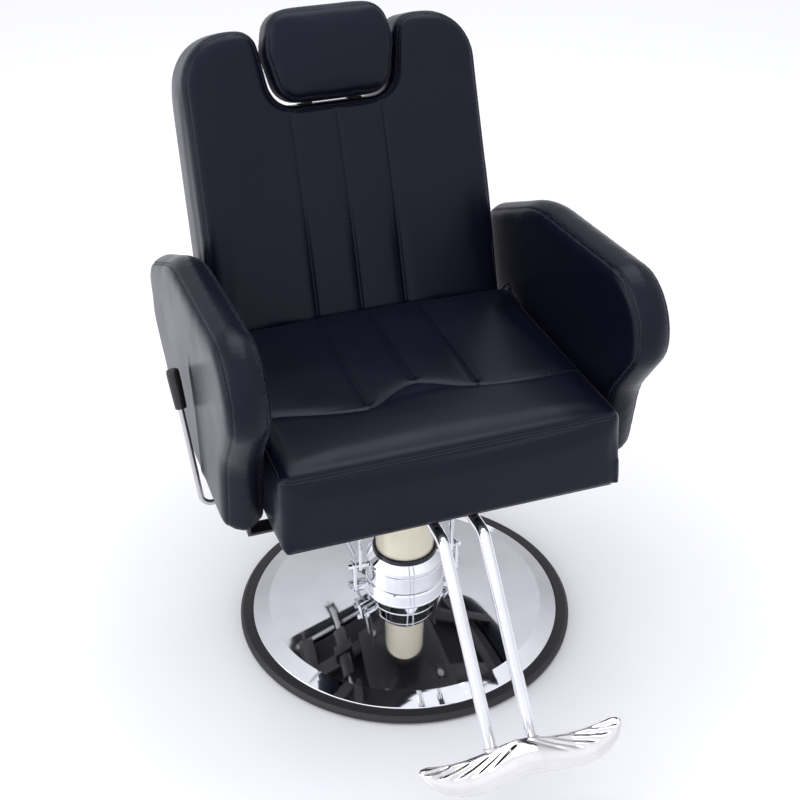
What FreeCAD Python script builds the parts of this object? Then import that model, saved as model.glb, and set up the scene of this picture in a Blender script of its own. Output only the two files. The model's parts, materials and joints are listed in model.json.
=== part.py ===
"""Hydraulic barber chair: a parametric assembly of separate sub-parts, in millimetres.

The origin is the middle of the base on the floor, +Z is up, the chair faces -Y, and
left means -X.  Every driving size is a cell of the sheet Sizes; what fits in, sits on
or lines up with another piece is worked out from the same cells.
"""

import FreeCAD, Part
import math
import os
import re

import Sketcher
from FreeCAD import Placement, Rotation, Vector

doc = FreeCAD.newDocument("barber_chair")

# ---------------------------------------------------------------- driving sizes

SIZES = {
    # base on the floor
    "rim_outer_radius": 300.0,
    "rim_width": 23.0,
    "rim_height": 17.0,
    "rim_lip": 14.0,
    "rim_lip_height": 4.0,
    "cover_edge_width": 29.5,
    "cover_crease_height": 29.0,
    "cover_top_height": 58.0,
    "cover_wall": 3.0,
    "casting_edge_gap": 22.0,
    "casting_height": 12.0,
    "casting_hub_wall": 9.0,
    # collar stack around the pump
    "rim_chamfer": 5.5,
    "socket_ring_radius": 71.0,
    "socket_ring_top": 84.0,
    "collar_groove": 1.5,
    "collar_chamfer": 3.0,
    "clamp_collar_radius": 69.5,
    "clamp_collar_waist": 69.0,
    "clamp_collar_top": 121.0,
    "retaining_ring_radius": 68.5,
    "retaining_ring_shoulder": 128.5,
    "retaining_ring_neck": 57.5,
    "retaining_ring_step": 142.0,
    "retaining_ring_top": 151.0,
    "collar_gap": 0.5,
    # pump
    "cylinder_radius": 52.0,
    "cylinder_wall": 3.5,
    "cylinder_seat_gap": 0.3,
    "inner_radius": 30.0,
    "inner_wall": 5.0,
    "head_height": 19.0,
    "head_spigot": 8.0,
    "head_gap": 3.0,
    "wiper_width": 6.0,
    "wiper_height": 5.0,
    "ram_radius": 21.0,
    "ram_bottom": 30.0,
    "piston_height": 20.0,
    "running_gap": 0.05,
    "spigot_radius": 17.0,
    "spigot_length": 30.0,
    "washer_radius": 28.0,
    "washer_height": 3.0,
    # foot pump pedal
    "yoke_pivot_height": 121.0,
    "yoke_half_width": 87.0,
    "yoke_plate": 6.0,
    "yoke_pin_radius": 6.0,
    "yoke_eye_radius": 12.0,
    "yoke_play": 2.0,
    "yoke_top": 250.0,
    "yoke_bar_height": 24.0,
    "yoke_rear": 78.0,
    "bracket_gap": 4.0,
    "bracket_plate": 6.0,
    "bracket_half_depth": 11.0,
    "bracket_bottom": 72.0,
    "bracket_web_height": 18.0,
    "bracket_bolt_radius": 7.0,
    "bracket_bolt_head": 5.0,
    "pin_end": 7.0,
    "toe_reach": 86.0,
    "toe_radius": 5.0,
    "plunger_radius": 7.0,
    "plunger_length": 40.0,
    "plunger_clearance": 0.15,
    "housing_wall": 7.0,
    "housing_top": 94.0,
    "housing_bottom": 60.0,
    "pedal_reach": 330.0,
    "pedal_arm_width": 26.0,
    "pedal_arm_height": 12.0,
    "pedal_drop": 20.0,
    "pad_length": 70.0,
    "pad_width": 74.0,
    "pad_wall": 6.0,
    # seat frame and cushion
    "board_bottom": 374.0,
    "board_height": 15.0,
    "board_inset": 12.0,
    "rail_height": 27.0,
    "rail_width": 25.0,
    "rail_wall": 2.5,
    "rail_inset": 47.5,
    "rail_front": -190.0,
    "rail_rear": 200.0,
    "crossmember_width": 40.0,
    "crossmember_reach": 75.0,
    "mount_plate_half": 110.0,
    "mount_plate_height": 8.0,
    "mount_hole_half": 75.0,
    "mount_bolt_radius": 5.0,
    "mount_bolt_head": 8.0,
    "mount_bolt_head_height": 6.0,
    "hub_radius": 34.0,
    "hub_play": 0.3,
    "seat_half_width": 282.5,
    "seat_front_bottom": -247.0,
    "seat_front_top": -241.0,
    "seat_top_front": 518.0,
    "seat_top_rear": 512.0,
    "seat_rear": 200.0,
    "seat_rear_height": 462.0,
    "seat_edge_round": 14.0,
    # arms
    "arm_gap": 1.5,
    "arm_width": 66.0,
    "arm_bottom": 372.0,
    "arm_front_foot": -156.0,
    "arm_waist_front": -179.0,
    "arm_waist_height": 506.0,
    "arm_nose_front": -250.0,
    "arm_nose_height": 606.0,
    "arm_top_front": -254.0,
    "arm_top_height": 737.0,
    "arm_crown_rear": 150.0,
    "arm_crown_height": 704.0,
    "arm_rear_top": 366.0,
    "arm_rear_height": 602.0,
    "arm_tail_rear": 360.0,
    "arm_tail_height": 500.0,
    "arm_rear_foot": 215.0,
    "arm_nose_round": 98.0,
    "arm_chin_round": 66.0,
    "arm_waist_round": 110.0,
    "arm_tail_round": 55.0,
    "arm_crown_round": 260.0,
    "arm_edge_round": 9.0,
    "arm_board_wall": 12.0,
    "arm_board_front": -140.0,
    "arm_board_rear": 200.0,
    "arm_board_top": 640.0,
    "arm_board_lift": 10.0,
    "arm_bracket_front": -125.0,
    "arm_bracket_rear": 95.0,
    "arm_bracket_width": 30.0,
    "arm_bracket_wall": 5.0,
    "arm_bracket_top": 520.0,
    # back, in its own leaning frame: height along the back, depth behind its face
    "back_lean": 20.7,
    "back_face_y": 210.0,
    "back_face_z": 480.0,
    "back_side_gap": 14.0,
    "back_taper": 8.0,
    "back_bottom": -12.0,
    "back_top": 532.0,
    "back_depth": 118.0,
    "back_panel_depth": 8.0,
    "back_panel_inset": 8.0,
    "back_lobe_round": 88.0,
    "back_inner_round": 38.0,
    "back_notch_round": 44.0,
    "back_foot_round": 18.0,
    "back_edge_round": 10.0,
    "back_board_depth": 84.0,
    "back_board_wall": 12.0,
    "back_board_inset": 22.0,
    "back_board_top": 350.0,
    "notch_bottom": 396.0,
    "notch_half_bottom": 104.0,
    "notch_half_top": 125.0,
    "back_arm_wall": 6.0,
    "back_arm_gap": 3.0,
    "back_arm_width": 19.0,
    "back_arm_top": 300.0,
    "back_arm_eye": 17.0,
    # recline pivot and lock
    "pivot_below": 28.0,
    "pivot_depth": 58.0,
    "shaft_radius": 12.0,
    "shaft_wall": 4.0,
    "bush_wall": 3.0,
    "bush_flange": 1.5,
    "bush_flange_width": 3.0,
    "shaft_end": 9.0,
    "hinge_plate_wall": 6.0,
    "hinge_eye_radius": 20.0,
    "hinge_plate_front": 110.0,
    "lock_x": -150.0,
    "lock_crank_length": 100.0,
    "lock_crank_angle": 20.0,
    "lock_crank_wall": 5.0,
    "lock_crank_half_gap": 5.0,
    "lock_crank_eye": 12.0,
    "lock_pin_radius": 5.0,
    "lock_slot_side": 0.6,
    "lock_rod_radius": 5.0,
    "lock_eye_wall": 6.0,
    "lock_eye_half_depth": 13.0,
    "lock_eye_half_height": 20.0,
    "lock_rod_front": 104.0,
    "lock_radius": 14.0,
    "lock_front": 0.0,
    "lock_rear": 150.0,
    "lock_bore_front": 34.0,
    "lock_clamp_wall": 6.0,
    "lock_clamp_depth": 28.0,
    # release lever
    "lever_y": -22.0,
    "lever_radius": 4.6,
    "lever_arm_gap": 2.6,
    "lever_inner": -128.0,
    "lever_lean": 17.3,
    "lever_length": 226.0,
    "lever_splay": 17.0,
    "lever_bend": 16.0,
    "lever_toe": 17.0,
    "lever_toe_radius": 4.0,
    "lever_bearing_wall": 5.0,
    "lever_bearing_width": 14.0,
    "release_pin_radius": 3.0,
    "release_pin_gap": 0.1,
    "release_pin_end": 24.0,
    "grip_radius": 10.0,
    "grip_end_round": 5.5,
    "grip_length": 66.0,
    "grip_tip": 6.0,
    # headrest, in the back's frame
    "post_x": 45.0,
    "post_depth": 45.0,
    "post_radius": 6.0,
    "post_bottom": 240.0,
    "post_top": 520.0,
    "sleeve_wall": 3.0,
    "sleeve_bottom": 235.0,
    "sleeve_flange": 5.0,
    "sleeve_flange_height": 3.0,
    "headrest_lift": 5.0,
    "headrest_top": 556.0,
    "headrest_half_bottom": 97.0,
    "headrest_half_middle": 116.0,
    "headrest_middle": 490.0,
    "headrest_half_top": 101.0,
    "headrest_front": 15.0,
    "headrest_rear": 58.0,
    "headrest_round": 42.0,
    "headrest_edge_round": 14.0,
    "headrest_board_wall": 6.0,
    "headrest_board_half": 60.0,
    # footrest
    "foot_tube_x": 33.6,
    "foot_tube_radius": 10.2,
    "foot_tube_wall": 1.8,
    "foot_tube_rear": -105.0,
    "foot_tube_play": 1.3,
    "foot_tube_knee_y": -270.0,
    "foot_tube_end_y": -486.0,
    "foot_tube_end_z": 118.0,
    "foot_tube_bend": 26.0,
    "foot_clamp_half": 56.0,
    "foot_clamp_front": -180.0,
    "foot_clamp_wall": 3.0,
    "plate_half_width": 164.5,
    "plate_tip_y": -519.0,
    "plate_tip_z": 158.0,
    "plate_tip_half_depth": 9.0,
    "plate_rear_y": -482.0,
    "plate_front_y": -560.0,
    "plate_mid_half_width": 92.0,
    "plate_mid_front_y": -561.0,
    "plate_mid_rear_y": -494.0,
    "plate_mid_drop": 16.0,
    "plate_shoulder_half_width": 138.0,
    "plate_shoulder_front_y": -546.0,
    "plate_shoulder_rear_y": -500.0,
    "plate_wall": 13.0,
    "plate_bolt_y": -544.0,
    "plate_bolt_radius": 7.0,
    "plate_bolt_head": 11.0,
    "plate_bolt_sink": 5.0,
    "plate_crest_drop": 2.0,
}

sheet = doc.addObject("Spreadsheet::Sheet", "Sizes")
for row, (alias, value) in enumerate(SIZES.items(), start=1):
    sheet.set(f"A{row}", alias.replace("_", " "))
    sheet.set(f"B{row}", str(value))
    sheet.setAlias(f"B{row}", alias)

# Places that several pieces share, worked out from the driving sizes.
PLACES = {
    "rim_inner": "rim_outer_radius - rim_width",
    "crease_radius": "rim_inner - cover_edge_width",
    "casting_radius": "crease_radius - casting_edge_gap",
    "bore_radius": "cylinder_radius + cylinder_seat_gap",
    "hub_outer": "bore_radius + casting_hub_wall",
    "frame_bottom": "board_bottom - rail_height",
    "mount_plate_bottom": "frame_bottom - mount_plate_height",
    "hub_bottom": "mount_plate_bottom - spigot_length",
    "ram_shoulder": "hub_bottom - hub_play - washer_height",
    "head_top": "ram_shoulder - head_gap",
    "head_bottom": "head_top - head_height",
    "cylinder_bottom": "casting_height + cylinder_seat_gap",
    "crossmember_near": "crossmember_reach - crossmember_width / 2",
    "crossmember_far": "crossmember_reach + crossmember_width / 2",
    "yoke_outer": "yoke_half_width + yoke_plate / 2",
    "yoke_inner": "yoke_half_width - yoke_plate / 2",
    "boss_reach": "yoke_inner - yoke_play",
    "bracket_inner": "yoke_outer + bracket_gap",
    "bracket_outer": "bracket_inner + bracket_plate",
    "plunger_top": "yoke_pivot_height - toe_radius - plunger_clearance",
    "rail_outer": "seat_half_width - rail_inset",
    "rail_inner": "rail_outer - rail_width",
    "arm_inner": "seat_half_width + arm_gap",
    "arm_outer": "arm_inner + arm_width",
    "arm_board_inner": "arm_inner + arm_width / 2 - arm_board_wall / 2",
    "back_half": "arm_inner - back_side_gap",
    "back_half_top": "back_half - back_taper",
    "pivot_up": "back_bottom - pivot_below",
    "pivot_y": "back_face_y + pivot_up * sin(back_lean) + pivot_depth * cos(back_lean)",
    "pivot_z": "back_face_z + pivot_up * cos(back_lean) - pivot_depth * sin(back_lean)",
    "hinge_plate_inner": "rail_outer",
    "hinge_plate_outer": "rail_outer + hinge_plate_wall",
    "back_arm_outer": "hinge_plate_inner - back_arm_gap",
    "back_arm_inner": "back_arm_outer - back_arm_wall",
    "lock_pin_y": "pivot_y + lock_crank_length * sin(lock_crank_angle)",
    "lock_z": "pivot_z - lock_crank_length * (1 + cos(lock_crank_angle)) / 2",
    "lock_pin_rise": "lock_crank_length * (1 - cos(lock_crank_angle)) / 2",
    "lever_z": "lock_z + lever_toe",
    "lever_x": "arm_outer + lever_arm_gap + lever_radius",
    "headrest_bottom": "notch_bottom + headrest_lift",
    "foot_tube_z": "board_bottom - foot_tube_play - foot_tube_radius",
}

places = doc.addObject("Spreadsheet::Sheet", "Places")
WORD = re.compile(r"[a-z][a-z_0-9]*")


def formula(text):
    """Writes sheet names in front of the sizes and places that a formula names."""

    def owned(match):
        word = match.group()
        if word in SIZES:
            return "Sizes." + word
        if word in PLACES:
            return "Places." + word
        return word

    return WORD.sub(owned, str(text))


for row, (alias, text) in enumerate(PLACES.items(), start=1):
    places.set(f"A{row}", alias.replace("_", " "))
    places.setAlias(f"B{row}", alias)
    places.set(f"B{row}", "=" + formula(text))
doc.recompute()


def size(name):
    """A size or a place as a number, for the few spots that need one."""
    owner = sheet if name in SIZES else places
    return float(owner.get(name))


# ---------------------------------------------------------------- small builders

AXIS_TURN = {
    "x": Rotation(Vector(0, 1, 0), 90),
    "y": Rotation(Vector(1, 0, 0), -90),
    "z": Rotation(),
}
nodes = {}


def bind(item, path, text):
    item.setExpression(path, formula(text))


def node(item, label):
    """Makes an object one of the chair's sub-parts."""
    item.Label = label
    nodes[label] = item
    return item


def place(item, x=0, y=0, z=0):
    """Ties the object's origin to formulas, keeping its turn."""
    for letter, text in (("x", x), ("y", y), ("z", z)):
        bind(item, "Placement.Base." + letter, text)
    return item


def box(x, y, z):
    """A block between two formulas on each axis."""
    block = doc.addObject("Part::Box", "Block")
    for prop, (low, high) in (("Length", x), ("Width", y), ("Height", z)):
        bind(block, prop, f"({high}) - ({low})")
    return place(block, x[0], y[0], z[0])


def rod(axis, radius, span, x=0, y=0, z=0):
    """A round bar along an axis, from one formula to another."""
    bar = doc.addObject("Part::Cylinder", "Bar")
    bind(bar, "Radius", radius)
    bind(bar, "Height", f"({span[1]}) - ({span[0]})")
    bar.Placement = Placement(Vector(), AXIS_TURN[axis])
    spots = {"x": x, "y": y, "z": z}
    spots[axis] = span[0]
    return place(bar, spots["x"], spots["y"], spots["z"])


def fuse(*items):
    joined = doc.addObject("Part::MultiFuse", "Joined")
    joined.Shapes = list(items)
    joined.Refine = True
    return joined


def group(*items):
    """Several separate solids kept together as one sub-part."""
    kept = doc.addObject("Part::Compound", "Group")
    kept.Links = list(items)
    return kept


def cut(base, *tools):
    left = doc.addObject("Part::Cut", "Cut")
    left.Base = base
    left.Tool = tools[0] if len(tools) == 1 else fuse(*tools)
    left.Refine = True
    return left


def common(base, tool):
    shared = doc.addObject("Part::Common", "Common")
    shared.Base = base
    shared.Tool = tool
    return shared


def tube(axis, outer, inner, span, x=0, y=0, z=0):
    return cut(rod(axis, outer, span, x, y, z), rod(axis, inner, span, x, y, z))


def new_sketch(body, role, offset=None):
    """A sketch on one of the body's own origin planes, moved off it by a formula."""
    sketch = body.newObject("Sketcher::SketchObject", "Profile")
    planes = [item for item in body.Origin.OriginFeatures if item.Role == role]
    sketch.AttachmentSupport = [(planes[0], "")]
    sketch.MapMode = "FlatFace"
    if offset is not None:
        bind(sketch, "AttachmentOffset.Base.z", offset)
    return sketch


def outline(sketch, corners):
    """A closed outline of straight sides whose corners are tied to formulas."""
    count = len(corners)
    spread = [Rotation(Vector(0, 0, 1), 360.0 * i / count).multVec(Vector(100, 0, 0)) for i in range(count)]
    for i in range(count):
        sketch.addGeometry(Part.LineSegment(spread[i], spread[(i + 1) % count]), False)
    for i in range(count):
        sketch.addConstraint(Sketcher.Constraint("Coincident", i, 2, (i + 1) % count, 1))
    for i, (across, up) in enumerate(corners):
        for kind, start, text in (("DistanceX", spread[i].x, across), ("DistanceY", spread[i].y, up)):
            if str(text) == "0":
                axis = -2 if kind == "DistanceX" else -1
                sketch.addConstraint(Sketcher.Constraint("PointOnObject", i, 1, axis))
                continue
            at = sketch.addConstraint(Sketcher.Constraint(kind, -1, 1, i, 1, start))
            bind(sketch, f"Constraints[{at}]", text)
    return sketch


def turned(label, corners):
    """A solid of revolution about Z, from an outline of (radius, height) corners."""
    body = doc.addObject("PartDesign::Body", label)
    sketch = outline(new_sketch(body, "XZ_Plane"), corners)
    spin = body.newObject("PartDesign::Revolution", "Turned")
    spin.Profile = sketch
    spin.ReferenceAxis = (sketch, ["V_Axis"])
    spin.Angle = 360.0
    sketch.Visibility = False
    return body


def slab(role, corners, thickness, middle=None, offset=None):
    """An outline on an origin plane padded by a thickness, about the plane or from it."""
    body = doc.addObject("PartDesign::Body", "Slab")
    sketch = outline(new_sketch(body, role, offset), corners)
    pad = body.newObject("PartDesign::Pad", "Thickness")
    pad.Profile = sketch
    bind(pad, "Length", thickness)
    pad.Midplane = bool(middle)
    sketch.Visibility = False
    return body


def rounded(body, picks):
    """Rounds edges: each pick is a test on an edge and a formula for the radius."""
    for test, radius in picks:
        doc.recompute()
        tip = body.Tip
        names = [f"Edge{i}" for i, edge in enumerate(tip.Shape.Edges, start=1) if test(edge)]
        fillet = body.newObject("PartDesign::Fillet", "Rounding")
        fillet.Base = (tip, names)
        bind(fillet, "Radius", radius)
    doc.recompute()
    return body


def along(axis, *near):
    """Tests for straight edges along an axis that pass near one of the given spots."""
    others = [i for i in range(3) if i != "xyz".index(axis)]

    def test(edge):
        if len(edge.Vertexes) != 2:
            return False
        run = edge.Vertexes[1].Point - edge.Vertexes[0].Point
        if run.Length < 1 or abs(run["xyz".index(axis)]) < 0.999 * run.Length:
            return False
        spot = edge.Vertexes[0].Point
        if not near:
            return True
        return any(all(abs(spot[i] - target[i]) < 0.5 for i in others) for target in near)

    return test


def flat_to(axis, level):
    """Tests for edges that lie wholly in a plane square to an axis."""
    at = "xyz".index(axis)

    def test(edge):
        spots = [edge.valueAt(edge.FirstParameter + share * (edge.LastParameter - edge.FirstParameter))
                 for share in (0.0, 0.31, 0.5, 0.77, 1.0)]
        return all(abs(spot[at] - level) < 0.01 for spot in spots)

    return test


def piped(corners, bend, radius, bore=None):
    """A round bar or tube through (across, up) corners of the XZ plane, with round bends."""
    body = doc.addObject("PartDesign::Body", "Pipe")
    spine = new_sketch(body, "XZ_Plane")
    runs = []
    start = corners[0]
    for before, corner, after in zip(corners, corners[1:], corners[2:]):
        back = (before - corner).normalize()
        ahead = (after - corner).normalize()
        half = back.getAngle(ahead) / 2
        first = corner + back * (bend / math.tan(half))
        last = corner + ahead * (bend / math.tan(half))
        crown = corner + (back + ahead).normalize() * (bend / math.sin(half) - bend)
        runs.append(Part.LineSegment(start, first))
        runs.append(Part.Arc(first, crown, last))
        start = last
    runs.append(Part.LineSegment(start, corners[-1]))
    spine.addGeometry(runs, False)
    for i in range(len(runs) - 1):
        ends = [(a, b) for a in (1, 2) for b in (1, 2)]
        gap = {pair: (spine.getPoint(i, pair[0]) - spine.getPoint(i + 1, pair[1])).Length for pair in ends}
        last, following = min(gap, key=gap.get)
        spine.addConstraint(Sketcher.Constraint("Coincident", i, last, i + 1, following))
    first_run = (corners[1] - corners[0]).normalize()
    ring = body.newObject("Sketcher::SketchObject", "Ring")
    ring.Placement = Placement(
        Vector(corners[0].x, 0, corners[0].y), Rotation(Vector(0, 0, 1), Vector(first_run.x, 0, first_run.y))
    )
    for text in (radius, bore):
        if text is not None:
            circle = ring.addGeometry(Part.Circle(Vector(), Vector(0, 0, 1), 10), False)
            ring.addConstraint(Sketcher.Constraint("Coincident", circle, 3, -1, 1))
            at = ring.addConstraint(Sketcher.Constraint("Radius", circle, 10))
            bind(ring, f"Constraints[{at}]", text)
    sweep = body.newObject("PartDesign::AdditivePipe", "Bent")
    sweep.Profile = ring
    sweep.Spine = (spine, [])
    doc.recompute()
    return body


def lean(item):
    """Moves a piece from the back's own frame to its place on the leaning back."""
    item.Placement = Placement(Vector(), Rotation(Vector(1, 0, 0), -size("back_lean")))
    return place(item, 0, "back_face_y", "back_face_z")


def mirror_x(item):
    """The same solid on the other side of the chair's middle plane."""
    twin = doc.addObject("Part::Mirroring", "Twin")
    twin.Source = item
    twin.Normal = Vector(1, 0, 0)
    return twin


SIDES = (("left", -1), ("right", 1))


def across(sign, low, high):
    """An X span on one side of the chair, always given low end first."""
    if sign > 0:
        return low, high
    return f"-({high})", f"-({low})"


# ---------------------------------------------------------------- base

def make_base():
    node(turned("rim", [
        ("rim_inner - rim_lip", "0"),
        ("rim_outer_radius - rim_chamfer", "0"),
        ("rim_outer_radius", "rim_chamfer"),
        ("rim_outer_radius", "rim_height - rim_chamfer"),
        ("rim_outer_radius - rim_chamfer", "rim_height"),
        ("rim_inner", "rim_height"),
        ("rim_inner", "rim_lip_height"),
        ("rim_inner - rim_lip", "rim_lip_height"),
    ]), "rubber_rim")
    node(turned("casting", [
        ("0", "rim_lip_height"),
        ("casting_radius", "rim_lip_height"),
        ("casting_radius", "casting_height"),
        ("hub_outer", "casting_height"),
        ("hub_outer", "cover_top_height - cover_wall"),
        ("bore_radius", "cover_top_height - cover_wall"),
        ("bore_radius", "casting_height"),
        ("0", "casting_height"),
    ]), "base_casting")
    node(turned("cover", [
        ("rim_inner", "rim_lip_height"),
        ("rim_inner", "rim_height"),
        ("crease_radius", "cover_crease_height"),
        ("socket_ring_radius", "cover_top_height"),
        ("bore_radius", "cover_top_height"),
        ("bore_radius", "cover_top_height - cover_wall"),
        ("socket_ring_radius", "cover_top_height - cover_wall"),
        ("crease_radius", "cover_crease_height - cover_wall"),
        ("rim_inner - cover_wall", "rim_height - cover_wall"),
        ("rim_inner - cover_wall", "rim_lip_height"),
    ]), "base_cover")
    node(turned("socket", [
        ("bore_radius", "cover_top_height"),
        ("socket_ring_radius + collar_groove", "cover_top_height"),
        ("socket_ring_radius", "cover_top_height + collar_chamfer"),
        ("socket_ring_radius", "socket_ring_top - collar_chamfer"),
        ("socket_ring_radius - collar_chamfer", "socket_ring_top"),
        ("bore_radius", "socket_ring_top"),
    ]), "socket_ring")
    clamp = turned("clamp", [
        ("bore_radius", "socket_ring_top + collar_gap"),
        ("clamp_collar_radius - collar_chamfer", "socket_ring_top + collar_gap"),
        ("clamp_collar_radius", "socket_ring_top + collar_gap + collar_chamfer"),
        ("clamp_collar_waist", "clamp_collar_top - collar_groove"),
        ("clamp_collar_waist - collar_groove", "clamp_collar_top"),
        ("bore_radius", "clamp_collar_top"),
    ])
    boss_span = ("-boss_reach", "boss_reach")
    pin_holes = rod("x", "yoke_pin_radius", boss_span, z="yoke_pivot_height")
    pump_room = rod("z", "bore_radius", ("cover_top_height", "yoke_top"))
    pin_bosses = rod("x", "yoke_eye_radius", boss_span, z="yoke_pivot_height")
    node(cut(fuse(clamp, pin_bosses), pump_room, pin_holes), "clamp_collar")
    ring = turned("retainer", [
        ("bore_radius", "clamp_collar_top"),
        ("retaining_ring_radius - collar_groove", "clamp_collar_top"),
        ("retaining_ring_radius", "clamp_collar_top + collar_groove"),
        ("retaining_ring_radius", "retaining_ring_shoulder"),
        ("retaining_ring_neck", "retaining_ring_step"),
        ("retaining_ring_neck", "retaining_ring_top - collar_groove"),
        ("retaining_ring_neck - collar_groove", "retaining_ring_top"),
        ("bore_radius", "retaining_ring_top"),
    ])
    node(cut(ring, pin_bosses), "retaining_ring")
    return pump_room


def make_pump():
    node(turned("cylinder", [
        ("0", "cylinder_bottom"),
        ("cylinder_radius", "cylinder_bottom"),
        ("cylinder_radius", "head_bottom"),
        ("cylinder_radius - cylinder_wall", "head_bottom"),
        ("cylinder_radius - cylinder_wall", "cylinder_bottom + cylinder_wall"),
        ("0", "cylinder_bottom + cylinder_wall"),
    ]), "pump_cylinder")
    node(tube(
        "z", "inner_radius", "inner_radius - inner_wall",
        ("cylinder_bottom + cylinder_wall", "head_bottom - head_spigot")
    ), "inner_cylinder")
    node(turned("head", [
        ("ram_radius + running_gap", "head_bottom - head_spigot"),
        ("cylinder_radius - cylinder_wall - 0.1", "head_bottom - head_spigot"),
        ("cylinder_radius - cylinder_wall - 0.1", "head_bottom"),
        ("cylinder_radius", "head_bottom"),
        ("cylinder_radius", "head_top - 4"),
        ("cylinder_radius - 4", "head_top"),
        ("ram_radius + wiper_width", "head_top"),
        ("ram_radius + wiper_width", "head_top - wiper_height"),
        ("ram_radius + running_gap", "head_top - wiper_height"),
    ]), "pump_head")
    node(tube(
        "z", "ram_radius + wiper_width", "ram_radius + running_gap",
        ("head_top - wiper_height", "head_top")
    ), "rod_wiper")
    node(turned("ram", [
        ("0", "ram_bottom"),
        ("ram_radius - 5", "ram_bottom"),
        ("ram_radius - 5", "ram_bottom + piston_height"),
        ("ram_radius", "ram_bottom + piston_height"),
        ("ram_radius", "ram_shoulder"),
        ("spigot_radius", "ram_shoulder"),
        ("spigot_radius", "mount_plate_bottom - 2"),
        ("0", "mount_plate_bottom - 2"),
    ]), "ram_rod")
    node(tube(
        "z", "inner_radius - inner_wall - running_gap", "ram_radius - 5",
        ("ram_bottom", "ram_bottom + piston_height")
    ), "piston")
    node(tube(
        "z", "washer_radius", "spigot_radius",
        ("ram_shoulder", "ram_shoulder + washer_height")
    ), "thrust_washer")


def make_pedal(pump_room):
    webs = []
    pins = []
    bolts = []
    for _, sign in SIDES:
        webs.append(fuse(
            box(across(sign, "socket_ring_radius - 6", "bracket_inner + 1"),
                ("2 - bracket_half_depth", "bracket_half_depth - 2"),
                ("bracket_bottom", "bracket_bottom + bracket_web_height - 6")),
            box(across(sign, "bracket_inner", "bracket_outer"),
                ("-bracket_half_depth", "bracket_half_depth"),
                ("bracket_bottom", "yoke_pivot_height + bracket_half_depth")),
        ))
        pins.append(rod(
            "x", "yoke_pin_radius", across(sign, "clamp_collar_waist", "bracket_outer + pin_end"),
            z="yoke_pivot_height"
        ))
        bolts.append(rod(
            "x", "bracket_bolt_radius",
            across(sign, "bracket_outer", "bracket_outer + bracket_bolt_head"),
            z="bracket_bottom + bracket_web_height / 2"
        ))
    ring_room = rod("z", "socket_ring_radius + collar_groove",
                    ("cover_top_height - 1", "socket_ring_top + collar_gap"))
    pin_room = rod("x", "yoke_pin_radius", ("-2 * bracket_outer", "2 * bracket_outer"), z="yoke_pivot_height")
    node(cut(group(*webs), ring_room, pin_room), "pedal_brackets")
    node(cut(group(*pins), pump_room), "pedal_pins")
    node(group(*bolts), "bracket_bolts")

    housing = cut(
        fuse(
            rod("z", "plunger_radius + housing_wall",
                ("housing_bottom - cover_wall", "housing_top"), y="toe_reach"),
            box(("-plunger_radius", "plunger_radius"), ("bore_radius", "toe_reach"),
                ("cover_top_height + 4", "socket_ring_top - 4")),
        ),
        ring_room,
        rod("z", "plunger_radius + running_gap", ("0", "yoke_top"), y="toe_reach"),
        turned("cone", [
            ("0", "0"),
            ("rim_inner", "0"),
            ("rim_inner", "rim_height"),
            ("crease_radius", "cover_crease_height"),
            ("socket_ring_radius", "cover_top_height"),
            ("0", "cover_top_height"),
        ]),
    )
    node(housing, "plunger_housing")
    plunger = rod("z", "plunger_radius", ("plunger_top - plunger_length", "plunger_top"), y="toe_reach")
    node(plunger, "pump_plunger")

    cheeks = []
    for _, sign in SIDES:
        span = across(sign, "yoke_inner", "yoke_outer")
        cheeks += [
            rod("x", "yoke_eye_radius", span, z="yoke_pivot_height"),
            box(span, ("-yoke_eye_radius", "yoke_eye_radius"), ("yoke_pivot_height", "yoke_top")),
            box(span, ("0", "yoke_rear"), ("yoke_top - yoke_bar_height", "yoke_top")),
            box(span, ("0", "toe_reach"),
                ("yoke_pivot_height - toe_radius - 2", "yoke_pivot_height + toe_radius + 2")),
            rod("x", "toe_radius + 2", span, y="toe_reach", z="yoke_pivot_height"),
        ]
    cheeks += [
        box(("-yoke_outer", "yoke_outer"), ("yoke_rear - yoke_plate", "yoke_rear"),
            ("yoke_top - yoke_bar_height", "yoke_top")),
        rod("x", "toe_radius", ("-yoke_outer", "yoke_outer"), y="toe_reach", z="yoke_pivot_height"),
    ]
    eyes = rod("x", "yoke_pin_radius + running_gap",
               ("-2 * yoke_outer", "2 * yoke_outer"), z="yoke_pivot_height")
    node(cut(fuse(*cheeks), eyes), "pedal_yoke")

    arm = slab("YZ_Plane", [
        ("yoke_rear", "yoke_top - yoke_bar_height / 2 + pedal_arm_height / 2"),
        ("yoke_rear", "yoke_top - yoke_bar_height / 2 - pedal_arm_height / 2"),
        ("pedal_reach - pad_length", "yoke_top - yoke_bar_height / 2 - pedal_arm_height / 2 - pedal_drop"),
        ("pedal_reach", "yoke_top - yoke_bar_height / 2 - pedal_arm_height / 2 - pedal_drop"),
        ("pedal_reach", "yoke_top - yoke_bar_height / 2 + pedal_arm_height / 2 - pedal_drop"),
        ("pedal_reach - pad_length", "yoke_top - yoke_bar_height / 2 + pedal_arm_height / 2 - pedal_drop"),
    ], "pedal_arm_width", middle=True)
    node(arm, "pedal_arm")
    pad_middle = "yoke_top - yoke_bar_height / 2 - pedal_drop"
    pad = box(
        ("-pad_width / 2", "pad_width / 2"),
        ("pedal_reach - pad_length + 2", "pedal_reach + pad_wall"),
        (pad_middle + " - pedal_arm_height / 2 - pad_wall",
         pad_middle + " + pedal_arm_height / 2 + pad_wall"),
    )
    node(cut(pad, arm), "pedal_pad")


# ---------------------------------------------------------------- seat

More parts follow.
